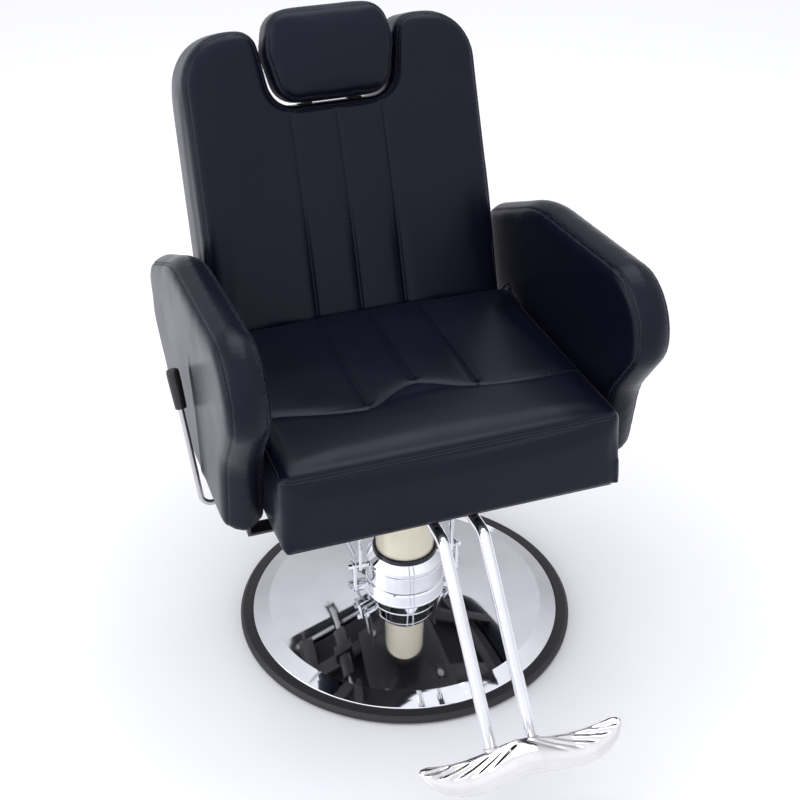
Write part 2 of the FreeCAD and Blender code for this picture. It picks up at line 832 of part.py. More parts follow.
def make_seat_frame():
    hub = fuse(
        tube("z", "hub_radius", "spigot_radius + running_gap", ("hub_bottom", "mount_plate_bottom")),
        box(("-mount_plate_half", "mount_plate_half"), ("-mount_plate_half", "mount_plate_half"),
            ("mount_plate_bottom", "frame_bottom")),
    )
    shanks = []
    bolts = []
    for x in ("-mount_hole_half", "mount_hole_half"):
        for y in ("-mount_hole_half", "mount_hole_half"):
            shanks.append(rod("z", "mount_bolt_radius", ("mount_plate_bottom", "board_bottom"), x, y))
            bolts.append(fuse(
                shanks[-1],
                rod("z", "mount_bolt_head",
                    ("mount_plate_bottom - mount_bolt_head_height", "mount_plate_bottom"),
                    x, y),
            ))
    node(cut(hub, *shanks), "swivel_hub")
    node(group(*bolts), "mount_bolts")

    rails = []
    for _, sign in SIDES:
        rails.append(cut(
            box(across(sign, "rail_inner", "rail_outer"), ("rail_front", "rail_rear"),
                ("frame_bottom", "board_bottom")),
            box(across(sign, "rail_inner + rail_wall", "rail_outer - rail_wall"), ("rail_front", "rail_rear"),
                ("frame_bottom + rail_wall", "board_bottom - rail_wall")),
        ))
    node(group(*rails), "side_rails")
    for label, low, high in (
        ("front_crossmember", "-crossmember_far", "-crossmember_near"),
        ("rear_crossmember", "crossmember_near", "crossmember_far"),
    ):
        bar = box(("-rail_inner", "rail_inner"), (low, high), ("frame_bottom", "board_bottom"))
        hollow = box(("-rail_inner", "rail_inner"), (low + " + rail_wall", high + " - rail_wall"),
                     ("frame_bottom + rail_wall", "board_bottom - rail_wall"))
        node(cut(bar, hollow, *shanks), label)


def make_seat_cushion():
    board = box(
        ("-(seat_half_width - board_inset)", "seat_half_width - board_inset"),
        ("seat_front_bottom + board_inset", "seat_rear - board_inset"),
        ("board_bottom", "board_bottom + board_height"),
    )
    node(board, "seat_board")
    cushion = slab("YZ_Plane", [
        ("seat_front_bottom", "board_bottom"),
        ("seat_rear", "board_bottom"),
        ("seat_rear", "seat_rear_height"),
        ("seat_rear + (seat_top_rear - seat_rear_height) * tan(back_lean)", "seat_top_rear"),
        ("seat_front_top", "seat_top_front"),
    ], "2 * seat_half_width", middle=True)
    half = size("seat_half_width")
    rounded(cushion, [
        (along("x", (0, size("seat_front_top"), size("seat_top_front"))), "seat_edge_round"),
        (lambda edge: flat_to("x", half)(edge) or flat_to("x", -half)(edge), "seat_edge_round / 2"),
    ])
    node(cut(cushion, board), "seat_cushion")


def make_arms():
    low, high = "arm_inner", "arm_outer"
    board_low, board_high = "arm_board_inner", "arm_board_inner + arm_board_wall"
    boards = box((board_low, board_high), ("arm_board_front", "arm_board_rear"),
                 ("arm_bottom + arm_board_lift", "arm_board_top"))
    straps = []
    for y in ("arm_bracket_front", "arm_bracket_rear"):
        depth = (f"{y} - arm_bracket_width / 2", f"{y} + arm_bracket_width / 2")
        foot = "frame_bottom + 2"
        straps += [
            box(("rail_outer", board_low), depth, (foot, foot + " + arm_bracket_wall")),
            box((board_low + " - arm_bracket_wall", board_low), depth, (foot, "arm_bracket_top")),
        ]
    strap_pairs = [fuse(*straps[:2]), fuse(*straps[2:])]
    pad = slab("YZ_Plane", [
        ("arm_front_foot", "arm_bottom"),
        ("arm_rear_foot", "arm_bottom"),
        ("arm_tail_rear", "arm_tail_height"),
        ("arm_rear_top", "arm_rear_height"),
        ("arm_crown_rear", "arm_crown_height"),
        ("arm_top_front", "arm_top_height"),
        ("arm_nose_front", "arm_nose_height"),
        ("arm_waist_front", "arm_waist_height"),
    ], "arm_width", offset=low)
    inner, outer = size("arm_inner"), size("arm_outer")
    rounded(pad, [
        (along("x", (0, size("arm_top_front"), size("arm_top_height"))), "arm_nose_round"),
        (along("x", (0, size("arm_nose_front"), size("arm_nose_height"))), "arm_chin_round"),
        (along("x", (0, size("arm_waist_front"), size("arm_waist_height"))), "arm_waist_round"),
        (along("x", (0, size("arm_tail_rear"), size("arm_tail_height")),
               (0, size("arm_rear_top"), size("arm_rear_height"))), "arm_tail_round"),
        (along("x", (0, size("arm_crown_rear"), size("arm_crown_height"))), "arm_crown_round"),
        (lambda edge: flat_to("x", inner)(edge) or flat_to("x", outer)(edge), "arm_edge_round"),
    ])
    cushion = cut(pad, boards, *strap_pairs)
    brackets = group(*strap_pairs)
    node(cushion, "arm_pad_right")
    node(mirror_x(cushion), "arm_pad_left")
    node(boards, "arm_board_right")
    node(mirror_x(boards), "arm_board_left")
    node(group(brackets, mirror_x(brackets)), "arm_brackets")


def make_hinges():
    bushes = []
    for label, sign in SIDES:
        span = across(sign, "hinge_plate_inner", "hinge_plate_outer")
        plate = slab("YZ_Plane", [
            ("hinge_plate_front", "frame_bottom"),
            ("rail_rear", "frame_bottom"),
            ("pivot_y + hinge_eye_radius * cos(45)", "pivot_z - hinge_eye_radius * sin(45)"),
            ("pivot_y - hinge_eye_radius * cos(45)", "pivot_z + hinge_eye_radius * sin(45)"),
            ("seat_rear + 6", "board_bottom + 16"),
            ("seat_rear + 6", "board_bottom"),
            ("hinge_plate_front", "board_bottom"),
        ], "hinge_plate_wall", offset=span[0])
        eye = rod("x", "hinge_eye_radius", span, y="pivot_y", z="pivot_z")
        hole = rod("x", "shaft_radius + bush_wall", span, y="pivot_y", z="pivot_z")
        node(cut(fuse(plate, eye), hole), "hinge_plate_" + label)
        bushes.append(fuse(
            tube("x", "shaft_radius + bush_wall", "shaft_radius + running_gap",
                 across(sign, "hinge_plate_inner - bush_flange", "hinge_plate_outer + bush_flange"),
                 y="pivot_y", z="pivot_z"),
            tube("x", "shaft_radius + bush_wall + bush_flange_width", "shaft_radius + running_gap",
                 across(sign, "hinge_plate_outer", "hinge_plate_outer + bush_flange"),
                 y="pivot_y", z="pivot_z"),
        ))
    node(group(*bushes), "hinge_bushes")


def make_lock():
    eye_low = "lock_x - lock_eye_wall / 2"
    eye_high = "lock_x + lock_eye_wall / 2"
    eye = cut(
        box((eye_low, eye_high), ("lock_pin_y - lock_eye_half_depth", "lock_pin_y + lock_eye_half_depth"),
            ("lock_z - lock_eye_half_height", "lock_z + lock_eye_half_height")),
        box((eye_low, eye_high),
            ("lock_pin_y - lock_pin_radius - lock_slot_side",
             "lock_pin_y + lock_pin_radius + lock_slot_side"),
            ("lock_z - lock_pin_radius - lock_pin_rise - lock_slot_side",
             "lock_z + lock_pin_radius + lock_pin_rise + lock_slot_side")),
    )
    bar = rod("y", "lock_rod_radius",
              ("lock_rod_front", "lock_pin_y - lock_eye_half_depth + 1"), x="lock_x", z="lock_z")
    node(fuse(bar, eye), "lock_rod")
    node(cut(
        rod("y", "lock_radius", ("lock_front", "lock_rear"), x="lock_x", z="lock_z"),
        rod("y", "lock_rod_radius + running_gap", ("lock_bore_front", "lock_rear"), x="lock_x", z="lock_z"),
        rod("y", "release_pin_radius + running_gap",
            ("lock_front", "lock_bore_front"), x="lock_x", z="lock_z"),
    ), "lock_cylinder")
    node(cut(
        box(("lock_x - lock_radius - lock_clamp_wall", "lock_x + lock_radius + lock_clamp_wall"),
            ("crossmember_reach - lock_clamp_depth / 2", "crossmember_reach + lock_clamp_depth / 2"),
            ("lock_z - lock_radius - lock_clamp_wall", "frame_bottom")),
        rod("y", "lock_radius", ("lock_front", "lock_rear"), x="lock_x", z="lock_z"),
    ), "lock_clamp")
    toe_contact = "lever_y + lever_toe_radius + release_pin_gap"
    pin = rod("y", "release_pin_radius", (toe_contact, "release_pin_end"), x="lock_x", z="lock_z")
    node(pin, "release_pin")


def make_lever():
    handle = piped(
        [
            Vector(size("lever_inner"), 0, 0),
            Vector(-size("lever_x"), 0, 0),
            Vector(-size("lever_x") - size("lever_splay"), size("lever_length"), 0),
        ],
        size("lever_bend"), "lever_radius",
    )
    toe = slab("XZ_Plane", [
        ("lock_x - 5", "0"), ("lock_x + 5", "0"), ("lock_x + 5", "-lever_toe"), ("lock_x - 5", "-lever_toe"),
    ], "2 * lever_toe_radius", middle=True)
    toe_end = rod("x", "lever_toe_radius", ("lock_x - 5", "lock_x + 5"), z="-lever_toe")
    lever_turn = Placement(Vector(), Rotation(Vector(1, 0, 0), -size("lever_lean")))
    toe_down = fuse(toe, toe_end)
    place(toe_down, 0, "lever_y", "lever_z")
    handle.Placement = lever_turn
    place(handle, 0, "lever_y", "lever_z")
    node(fuse(handle, toe_down), "lever_rod")
    slope = math.degrees(math.atan2(size("lever_splay"), size("lever_length")))
    along_handle = math.hypot(size("lever_splay"), size("lever_length"))
    grip = doc.addObject("Part::Cylinder", "Grip")
    bind(grip, "Radius", "grip_radius")
    bind(grip, "Height", "grip_length")
    grip.Placement = lever_turn.multiply(Placement(
        Vector(-size("lever_x"), 0, 0), Rotation(Vector(0, 1, 0), -slope)
    ).multiply(Placement(Vector(0, 0, along_handle + size("grip_tip") - size("grip_length")), Rotation())))
    grip.Placement.Base = grip.Placement.Base + Vector(0, size("lever_y"), size("lever_z"))
    soft = doc.addObject("Part::Fillet", "RoundGrip")
    soft.Base = grip
    doc.recompute()
    ends = [i for i, edge in enumerate(grip.Shape.Edges, start=1) if edge.Closed and len(edge.Vertexes) == 1]
    soft.Edges = [(i, size("grip_end_round"), size("grip_end_round")) for i in ends]
    node(cut(soft, handle), "lever_grip")

    bearings = []
    for low, high, front in (
        ("-rail_outer", "lever_bearing_width - rail_outer", "lever_y - lever_radius - lever_bearing_wall"),
        ("lever_inner - 10", "lever_inner + 2", "-crossmember_reach"),
    ):
        bearings.append(cut(
            box((low, high), (front, "lever_y + lever_radius + lever_bearing_wall"),
                ("lever_z - lever_radius - lever_bearing_wall", "frame_bottom")),
            rod("x", "lever_radius + running_gap",
                ("-rail_outer - 10", "lever_inner + 10"), y="lever_y", z="lever_z"),
        ))
    node(group(*bearings), "lever_bearings")


def make_footrest():
    knee = Vector(size("foot_tube_knee_y"), size("foot_tube_z"), 0)
    corners = [
        Vector(size("foot_tube_rear"), size("foot_tube_z"), 0),
        knee,
        Vector(size("foot_tube_end_y"), size("foot_tube_end_z"), 0),
    ]
    turn = Rotation(Vector(0, 0, 1), 90)
    tubes = []
    for label, sign in SIDES:
        leg = piped(corners, size("foot_tube_bend"), "foot_tube_radius", "foot_tube_radius - foot_tube_wall")
        leg.Placement = Placement(Vector(), turn)
        place(leg, f"{sign} * foot_tube_x")
        tubes.append(node(leg, "footrest_tube_" + label))
    holes = [
        rod("y", "foot_tube_radius", ("foot_clamp_front", "foot_tube_rear"),
            x=f"{sign} * foot_tube_x", z="foot_tube_z")
        for _, sign in SIDES
    ]
    node(cut(
        box(("-foot_clamp_half", "foot_clamp_half"),
            ("foot_clamp_front", "-crossmember_far"),
            ("foot_tube_z - foot_tube_radius - foot_clamp_wall", "board_bottom")),
        *holes,
    ), "footrest_clamp")

    plan = slab("XY_Plane", [
        ("-plate_half_width", "plate_tip_y + plate_tip_half_depth"),
        ("-plate_half_width", "plate_tip_y - plate_tip_half_depth"),
        ("-plate_shoulder_half_width", "plate_shoulder_front_y"),
        ("-plate_mid_half_width", "plate_mid_front_y"),
        ("0", "plate_front_y"),
        ("plate_mid_half_width", "plate_mid_front_y"),
        ("plate_shoulder_half_width", "plate_shoulder_front_y"),
        ("plate_half_width", "plate_tip_y - plate_tip_half_depth"),
        ("plate_half_width", "plate_tip_y + plate_tip_half_depth"),
        ("plate_shoulder_half_width", "plate_shoulder_rear_y"),
        ("plate_mid_half_width", "plate_mid_rear_y"),
        ("0", "plate_rear_y"),
        ("-plate_mid_half_width", "plate_mid_rear_y"),
        ("-plate_shoulder_half_width", "plate_shoulder_rear_y"),
    ], "2 * plate_tip_z")
    wave = slab("XZ_Plane", [
        ("-plate_half_width", "plate_tip_z"),
        ("-plate_mid_half_width", "plate_tip_z - plate_mid_drop"),
        ("0", "plate_tip_z - plate_crest_drop"),
        ("plate_mid_half_width", "plate_tip_z - plate_mid_drop"),
        ("plate_half_width", "plate_tip_z"),
        ("plate_half_width", "plate_tip_z - plate_wall / 2"),
        ("plate_mid_half_width", "plate_tip_z - plate_mid_drop - plate_wall"),
        ("0", "plate_tip_z - plate_crest_drop - plate_wall"),
        ("-plate_mid_half_width", "plate_tip_z - plate_mid_drop - plate_wall"),
        ("-plate_half_width", "plate_tip_z - plate_wall / 2"),
    ], "-2 * plate_front_y")
    bosses = [
        box((f"{sign} * foot_tube_x - 14", f"{sign} * foot_tube_x + 14"),
            ("foot_tube_end_y - 10", "foot_tube_end_y + 16"), ("foot_tube_end_z - 8", "plate_tip_z - 14"))
        for _, sign in SIDES
    ]
    bolt_top = "plate_tip_z - plate_crest_drop - plate_wall - plate_bolt_sink"
    bolts = [
        rod("z", "plate_bolt_radius", (bolt_top + " - plate_bolt_head", bolt_top),
            x=f"{sign} * foot_tube_x", y="plate_bolt_y")
        for _, sign in SIDES
    ]
    node(cut(fuse(common(plan, wave), *bosses), *tubes, *bolts), "footplate")
    node(group(*bolts), "footplate_bolts")


# ---------------------------------------------------------------- back and headrest

def back_outline(inset):
    """The back's front view, with its two shoulders and the notch between them."""
    right = [
        ("back_half - {0}", "back_bottom + {0}"),
        ("back_half_top - {0}", "back_top - {0}"),
        ("notch_half_top + {0}", "back_top - {0}"),
        ("notch_half_bottom + {0}", "notch_bottom - {0}"),
    ]
    right = [(x.format(inset), z.format(inset)) for x, z in right]
    left = [(f"-({x})", z) for x, z in reversed(right)]
    return right + left


def back_corner_rounds(inset):
    spots = {
        "lobe": (size("back_half_top") - inset, size("back_top") - inset),
        "inner": (size("notch_half_top") + inset, size("back_top") - inset),
        "notch": (size("notch_half_bottom") + inset, size("notch_bottom") - inset),
        "foot": (size("back_half") - inset, size("back_bottom") + inset),
    }
    return [
        (along("y", (x, 0, z), (-x, 0, z)), f"back_{name}_round")
        for name, (x, z) in spots.items()
    ]


def make_back():
    body = rounded(
        slab("XZ_Plane", back_outline("0"), "back_depth", offset="-back_depth"), back_corner_rounds(0)
    )
    rounded(body, [(flat_to("y", 0), "back_edge_round")])
    board = box(
        ("-(back_half_top - back_board_inset)", "back_half_top - back_board_inset"),
        ("back_board_depth", "back_board_depth + back_board_wall"),
        ("back_bottom + back_board_inset", "back_board_top"),
    )
    arm_front = "back_board_depth + back_board_wall"
    pivot = {"y": "pivot_depth", "z": "pivot_up"}
    arms = []
    for label, sign in SIDES:
        span = across(sign, "back_arm_inner", "back_arm_outer")
        bar = slab("YZ_Plane", [
            (arm_front, "back_arm_top"),
            (arm_front, "back_bottom"),
            ("pivot_depth - back_arm_eye * sin(30)", "pivot_up + back_arm_eye * cos(30) - 2"),
            ("pivot_depth + back_arm_eye * sin(30)", "pivot_up - back_arm_eye * cos(30)"),
            (arm_front + " + back_arm_width", "back_bottom - 14"),
            (arm_front + " + back_arm_width", "back_arm_top"),
        ], "back_arm_wall", offset=span[0])
        eye = rod("x", "back_arm_eye", span, **pivot)
        hole = rod("x", "shaft_radius", span, **pivot)
        arms.append(cut(fuse(bar, eye), hole))
        lean(node(arms[-1], "back_arm_" + label))

    holes = [
        rod("z", "post_radius + sleeve_wall", ("sleeve_bottom", "notch_bottom"),
            x=f"{sign} * post_x", y="post_depth")
        for _, sign in SIDES
    ]
    arm_slots = [
        box(across(sign, "back_arm_inner", "back_arm_outer"), (arm_front, "back_depth"),
            ("back_bottom - 1", "back_arm_top"))
        for _, sign in SIDES
    ]
    lean(node(group(board), "back_board"))
    lean(node(cut(body, board, *holes, *arm_slots), "back_cushion"))
    panel = rounded(
        slab("XZ_Plane", back_outline("back_panel_inset"), "back_panel_depth",
             offset="-back_depth - back_panel_depth"),
        back_corner_rounds(size("back_panel_inset")),
    )
    lean(node(panel, "back_panel"))

    sleeves = []
    for _, sign in SIDES:
        spot = {"x": f"{sign} * post_x", "y": "post_depth"}
        sleeves.append(cut(
            fuse(
                rod("z", "post_radius + sleeve_wall", ("sleeve_bottom", "notch_bottom"), **spot),
                rod("z", "post_radius + sleeve_wall + sleeve_flange",
                    ("notch_bottom", "notch_bottom + sleeve_flange_height"), **spot),
            ),
            rod("z", "post_radius + running_gap",
                ("sleeve_bottom", "notch_bottom + sleeve_flange_height"), **spot),
        ))
    lean(node(group(*sleeves), "headrest_sleeves"))

    shaft = tube("x", "shaft_radius", "shaft_radius - shaft_wall",
                 ("-hinge_plate_outer - shaft_end", "hinge_plate_outer + shaft_end"), **pivot)
    lean(node(shaft, "recline_shaft"))

    cheeks = []
    for sign in (-1, 1):
        inner = "lock_x + {0} * lock_crank_half_gap".format(sign)
        outer = "lock_x + {0} * (lock_crank_half_gap + lock_crank_wall)".format(sign)
        span = (inner, outer) if sign > 0 else (outer, inner)
        cheeks.append(cut(
            fuse(
                rod("x", "lock_crank_eye + 6", span),
                rod("x", "lock_crank_eye", span, z="-lock_crank_length"),
                box(span, ("-lock_crank_eye", "lock_crank_eye"), ("-lock_crank_length", "0")),
            ),
            rod("x", "shaft_radius", span),
        ))
    pin = rod("x", "lock_pin_radius", ("lock_x - lock_crank_half_gap", "lock_x + lock_crank_half_gap"),
              z="-lock_crank_length")
    crank = fuse(*cheeks, pin)
    crank.Placement = Placement(Vector(), Rotation(Vector(1, 0, 0), size("lock_crank_angle")))
    place(node(crank, "lock_crank"), 0, "pivot_y", "pivot_z")


def make_headrest():
    posts = [
        rod("z", "post_radius", ("post_bottom", "post_top"), x=f"{sign} * post_x", y="post_depth")
        for _, sign in SIDES
    ]
    board = box(
        ("-headrest_board_half", "headrest_board_half"),
        ("headrest_rear - headrest_board_wall", "headrest_rear"),
        ("headrest_bottom + headrest_round", "post_top"),
    )
    right = [
        ("headrest_half_bottom", "headrest_bottom"),
        ("headrest_half_middle", "headrest_middle"),
        ("headrest_half_top", "headrest_top"),
    ]
    outline_corners = right + [(f"-{x}", z) for x, z in reversed(right)]
    pad = slab("XZ_Plane", outline_corners, "headrest_front + headrest_rear", offset="-headrest_rear")
    spots = [(size(x), size(z)) for x, z in right]
    everywhere = [(x * sign, 0, z) for x, z in spots for sign in (-1, 1)]
    rounded(pad, [
        (along("y", *everywhere), "headrest_round"),
        (flat_to("y", -size("headrest_front")), "headrest_edge_round"),
    ])
    lean(node(cut(pad, board, *posts), "headrest_pad"))
    lean(node(group(*posts), "headrest_posts"))
    lean(node(group(board), "headrest_board"))


def write_parts():
    """Checks every object and writes each sub-part as parts/NODE.step."""
    doc.recompute()
    for item in doc.Objects:
        bad = [state for state in item.State if state in ("Invalid", "Error")]
        if bad:
            raise RuntimeError(f"{item.Label} ({item.Name}) is {bad}")
    for label, item in nodes.items():
        if item.Shape.isNull() or not item.Shape.isValid():
            raise RuntimeError(f"{label} has no valid shape")
        if not item.Shape.Solids:
            raise RuntimeError(f"{label} has no solid")
    os.makedirs("parts", exist_ok=True)
    for label, item in nodes.items():
        item.Shape.exportStep(f"parts/{label}.step")
        print(f"{label}: {len(item.Shape.Solids)} solids, {item.Shape.Volume / 1000:.1f} cm3")
    print(len(nodes), "sub-parts")


room = make_base()
make_pump()
make_pedal(room)
make_seat_frame()
make_seat_cushion()
make_arms()
make_hinges()
make_lock()
make_lever()
make_footrest()
make_back()
make_headrest()
write_parts()
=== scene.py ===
"""Hydraulic barber chair: upholstery, chrome and stage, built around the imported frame.

Everything is in metres in the frame's own axes: +Z up, the chair faces -Y.
"""

import json
import math

import bmesh
import bpy
import numpy as np
from bpy.props import FloatProperty, FloatVectorProperty, IntProperty, PointerProperty
from mathutils import Matrix, Vector
from mathutils.bvhtree import BVHTree
from mathutils.kdtree import KDTree

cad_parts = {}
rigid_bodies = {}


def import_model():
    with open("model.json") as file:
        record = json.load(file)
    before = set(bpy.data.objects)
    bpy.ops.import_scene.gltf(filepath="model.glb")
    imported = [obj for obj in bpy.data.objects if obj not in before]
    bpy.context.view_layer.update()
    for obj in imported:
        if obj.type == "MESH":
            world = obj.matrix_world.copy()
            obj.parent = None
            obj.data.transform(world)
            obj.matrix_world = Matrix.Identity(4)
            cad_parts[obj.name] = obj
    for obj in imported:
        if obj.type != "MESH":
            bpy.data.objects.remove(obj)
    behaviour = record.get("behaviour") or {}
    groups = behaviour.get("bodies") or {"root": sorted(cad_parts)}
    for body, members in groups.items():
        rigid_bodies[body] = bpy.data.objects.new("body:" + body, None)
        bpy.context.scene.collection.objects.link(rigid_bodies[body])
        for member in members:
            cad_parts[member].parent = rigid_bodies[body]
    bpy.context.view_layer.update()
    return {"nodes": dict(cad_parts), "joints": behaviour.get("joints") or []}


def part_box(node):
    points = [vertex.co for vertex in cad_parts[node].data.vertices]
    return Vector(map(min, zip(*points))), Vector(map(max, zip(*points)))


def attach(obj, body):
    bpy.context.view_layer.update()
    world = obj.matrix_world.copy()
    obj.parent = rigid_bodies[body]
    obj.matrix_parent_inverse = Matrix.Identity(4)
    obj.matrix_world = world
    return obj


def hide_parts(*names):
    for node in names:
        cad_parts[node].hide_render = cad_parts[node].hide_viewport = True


bl_info = {
    "name": "Barber chair covers and chrome",
    "version": (1, 0, 0),
    "blender": (4, 5, 0),
    "location": "3D View > Sidebar > Barber Chair",
    "description": "Builds the visible pieces of a hydraulic barber chair around its frame",
    "category": "Object",
}

for leftover in list(bpy.data.objects):
    bpy.data.objects.remove(leftover)
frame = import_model()
JOINTS = {joint["name"]: joint for joint in frame["joints"]}
MM = 0.001


# ---------------------------------------------------------------- settings

class CoverSettings(bpy.types.PropertyGroup):
    """Sizes and colours of the upholstery."""

    leather_color: FloatVectorProperty(
        name="Leather", description="Colour of the covers", subtype="COLOR",
        size=3, min=0, max=1, default=(0.0034, 0.0038, 0.0105))
    thread_color: FloatVectorProperty(
        name="Thread", description="Colour of the stitching", subtype="COLOR",
        size=3, min=0, max=1, default=(0.06, 0.06, 0.075))
    voxel: FloatProperty(
        name="Mesh size", description="Size of the mesh that is blown up as cloth",
        unit="LENGTH", min=0.003, max=0.01, default=5 * MM)
    swell: FloatProperty(
        name="Swell", description="How far a pad swells over its cut shape",
        unit="LENGTH", min=0, max=0.02, default=6 * MM)
    slack: FloatProperty(
        name="Slack", description="How far the cover may move when it is blown up",
        unit="LENGTH", min=0, max=0.02, default=2.4 * MM)
    pressure: FloatProperty(
        name="Pressure", description="Pressure of the filling", min=0, max=20, default=4.0)
    seam_depth: FloatProperty(
        name="Seam depth", description="Depth of a sewn line's crease",
        unit="LENGTH", min=0, max=0.01, default=2.2 * MM)
    seam_width: FloatProperty(
        name="Seam width", description="Half width of a sewn line's crease",
        unit="LENGTH", min=0, max=0.01, default=2.0 * MM)
    stitch_pitch: FloatProperty(
        name="Stitch pitch", description="Distance from stitch to stitch",
        unit="LENGTH", min=0.002, max=0.01, default=4.6 * MM)
    stitch_length: FloatProperty(
        name="Stitch length", description="Length of one stitch",
        unit="LENGTH", min=0.001, max=0.01, default=3.4 * MM)
    thread: FloatProperty(
        name="Thread thickness", description="Thickness of the sewing thread",
        unit="LENGTH", min=0.0002, max=0.002, default=0.8 * MM)


class MetalSettings(bpy.types.PropertyGroup):
    """Sizes and colours of the hard parts."""

    chrome_color: FloatVectorProperty(
        name="Chrome", description="Tint of the plating", subtype="COLOR",
        size=3, min=0, max=1, default=(0.86, 0.865, 0.89))
    cylinder_color: FloatVectorProperty(
        name="Pump cylinder", description="Paint of the pump cylinder", subtype="COLOR",
        size=3, min=0, max=1, default=(0.86, 0.80, 0.62))
    edge_round: FloatProperty(
        name="Edge rounding", description="Rounding of machined edges",
        unit="LENGTH", min=0, max=0.003, default=0.8 * MM)
    turning_round: FloatProperty(
        name="Turned edge rounding", description="Rounding of turned edges",
        unit="LENGTH", min=0, max=0.005, default=1.6 * MM)
    turning_steps: IntProperty(
        name="Turned steps", description="Faces around a turned part", min=48, max=360, default=216)


class StageSettings(bpy.types.PropertyGroup):
    """The camera and the light."""

    floor_color: FloatVectorProperty(
        name="Floor", description="Colour of the floor", subtype="COLOR",
        size=3, min=0, max=1, default=(0.93, 0.93, 0.94))
    camera_spot: FloatVectorProperty(
        name="Camera", description="Where the camera stands", subtype="TRANSLATION",
        size=3, unit="LENGTH", default=(-0.669, -1.855, 1.723))
    camera_turn: FloatProperty(
        name="Camera azimuth", description="The way the camera faces, about Z",
        subtype="ANGLE", unit="ROTATION", default=math.radians(-19.59))
    camera_rise: FloatProperty(
        name="Camera elevation", description="How far the camera looks down",
        subtype="ANGLE", unit="ROTATION", default=math.radians(32.79))
    front_light: FloatProperty(
        name="Front light", description="Brightness of the surroundings on the camera's side", min=0, default=1.15)
    rear_light: FloatProperty(
        name="Rear light", description="Brightness of the surroundings behind", min=0, default=0.55)
    left_light: FloatProperty(
        name="Left light", description="Brightness added on the chair's left as seen from the front",
        min=0, default=0.5)
    top_light: FloatProperty(
        name="Top light", description="Brightness added overhead", min=0, default=0.35)
    lens: FloatProperty(
        name="Lens", description="Focal length in millimetres", min=10, max=300, default=63.2)


def covers():
    return bpy.context.scene.chair_covers


def metal():
    return bpy.context.scene.chair_metal


# ---------------------------------------------------------------- node helpers

class Nodes:
    """A node tree that is built by name: links and values go to a node's sockets."""

    def __init__(self, tree):
        self.tree = tree
        tree.nodes.clear()

    def add(self, kind, settings=None, **inputs):
        node = self.tree.nodes.new(kind)
        for key, value in (settings or {}).items():
            setattr(node, key, value)
        for key, value in inputs.items():
            self.feed(node, key.replace("_", " "), value)
        return node

    def feed(self, node, key, value):
        socket = node.inputs[int(key)] if key.isdigit() else node.inputs[key]
        if isinstance(value, bpy.types.NodeSocket):
            self.tree.links.new(value, socket)
        else:
            socket.default_value = value

    def math(self, operation, a, b=0.0):
        node = self.tree.nodes.new("ShaderNodeMath")
        node.operation = operation
        self.feed(node, "0", a)
        self.feed(node, "1", b)
        return node.outputs[0]

    def ramp(self, factor, low, high, value_low=0.0, value_high=1.0):
        node = self.add("ShaderNodeMapRange")
        for key, value in (("Value", factor), ("From Min", low), ("From Max", high),
                           ("To Min", value_low), ("To Max", value_high)):
            self.feed(node, key, value)
        return node.outputs[0]

    def blend_color(self, factor, first, second):
        node = self.add("ShaderNodeMix", {"data_type": "RGBA"})
        self.feed(node, "0", factor)
        self.feed(node, "6", first)
        self.feed(node, "7", second)
        return node.outputs[2]


def rgba(color):
    return (*color, 1.0)


def effect_group(name, inputs, outputs, build):
    """A shader node group with named inputs and outputs, built once."""
    found = bpy.data.node_groups.get(name)
    if found:
        return found
    tree = bpy.data.node_groups.new(name, "ShaderNodeTree")
    for label, default in inputs.items():
        tree.interface.new_socket(label, in_out="INPUT", socket_type="NodeSocketFloat").default_value = default
    for label in outputs:
        tree.interface.new_socket(label, in_out="OUTPUT", socket_type="NodeSocketFloat")
    nodes = Nodes(tree)
    given = nodes.add("NodeGroupInput")
    made = build(nodes, given)
    result = nodes.add("NodeGroupOutput")
    for label in outputs:
        tree.links.new(made[label], result.inputs[label])
    return tree


def use_group(nodes, tree, **inputs):
    node = nodes.add("ShaderNodeGroup", {"node_tree": tree})
    for key, value in inputs.items():
        nodes.feed(node, key.replace("_", " "), value)
    return node


def grain_effect():
    """Leather grain: small pebbles with finer pores, and slow changes of polish."""

    def build(nodes, given):
        spot = nodes.add("ShaderNodeTexCoord").outputs["Object"]
        pebbles = nodes.add("ShaderNodeTexVoronoi", {"feature": "SMOOTH_F1"}, Vector=spot,
                            Scale=given.outputs["Pebble Scale"], Smoothness=0.6)
        pores = nodes.add("ShaderNodeTexNoise", Vector=spot, Scale=given.outputs["Pore Scale"], Detail=4.0)
        slow = nodes.add("ShaderNodeTexNoise", Vector=spot, Scale=given.outputs["Patch Scale"], Detail=3.0)
        pore_height = nodes.math("MULTIPLY", pores.outputs["Fac"], 0.45)
        height = nodes.math("ADD", pebbles.outputs["Distance"], pore_height)
        return {"Height": height, "Patch": nodes.ramp(slow.outputs["Fac"], 0.3, 0.7)}

    return effect_group(
        "Leather Grain", {"Pebble Scale": 700.0, "Pore Scale": 1900.0, "Patch Scale": 9.0},
        ("Height", "Patch"), build)


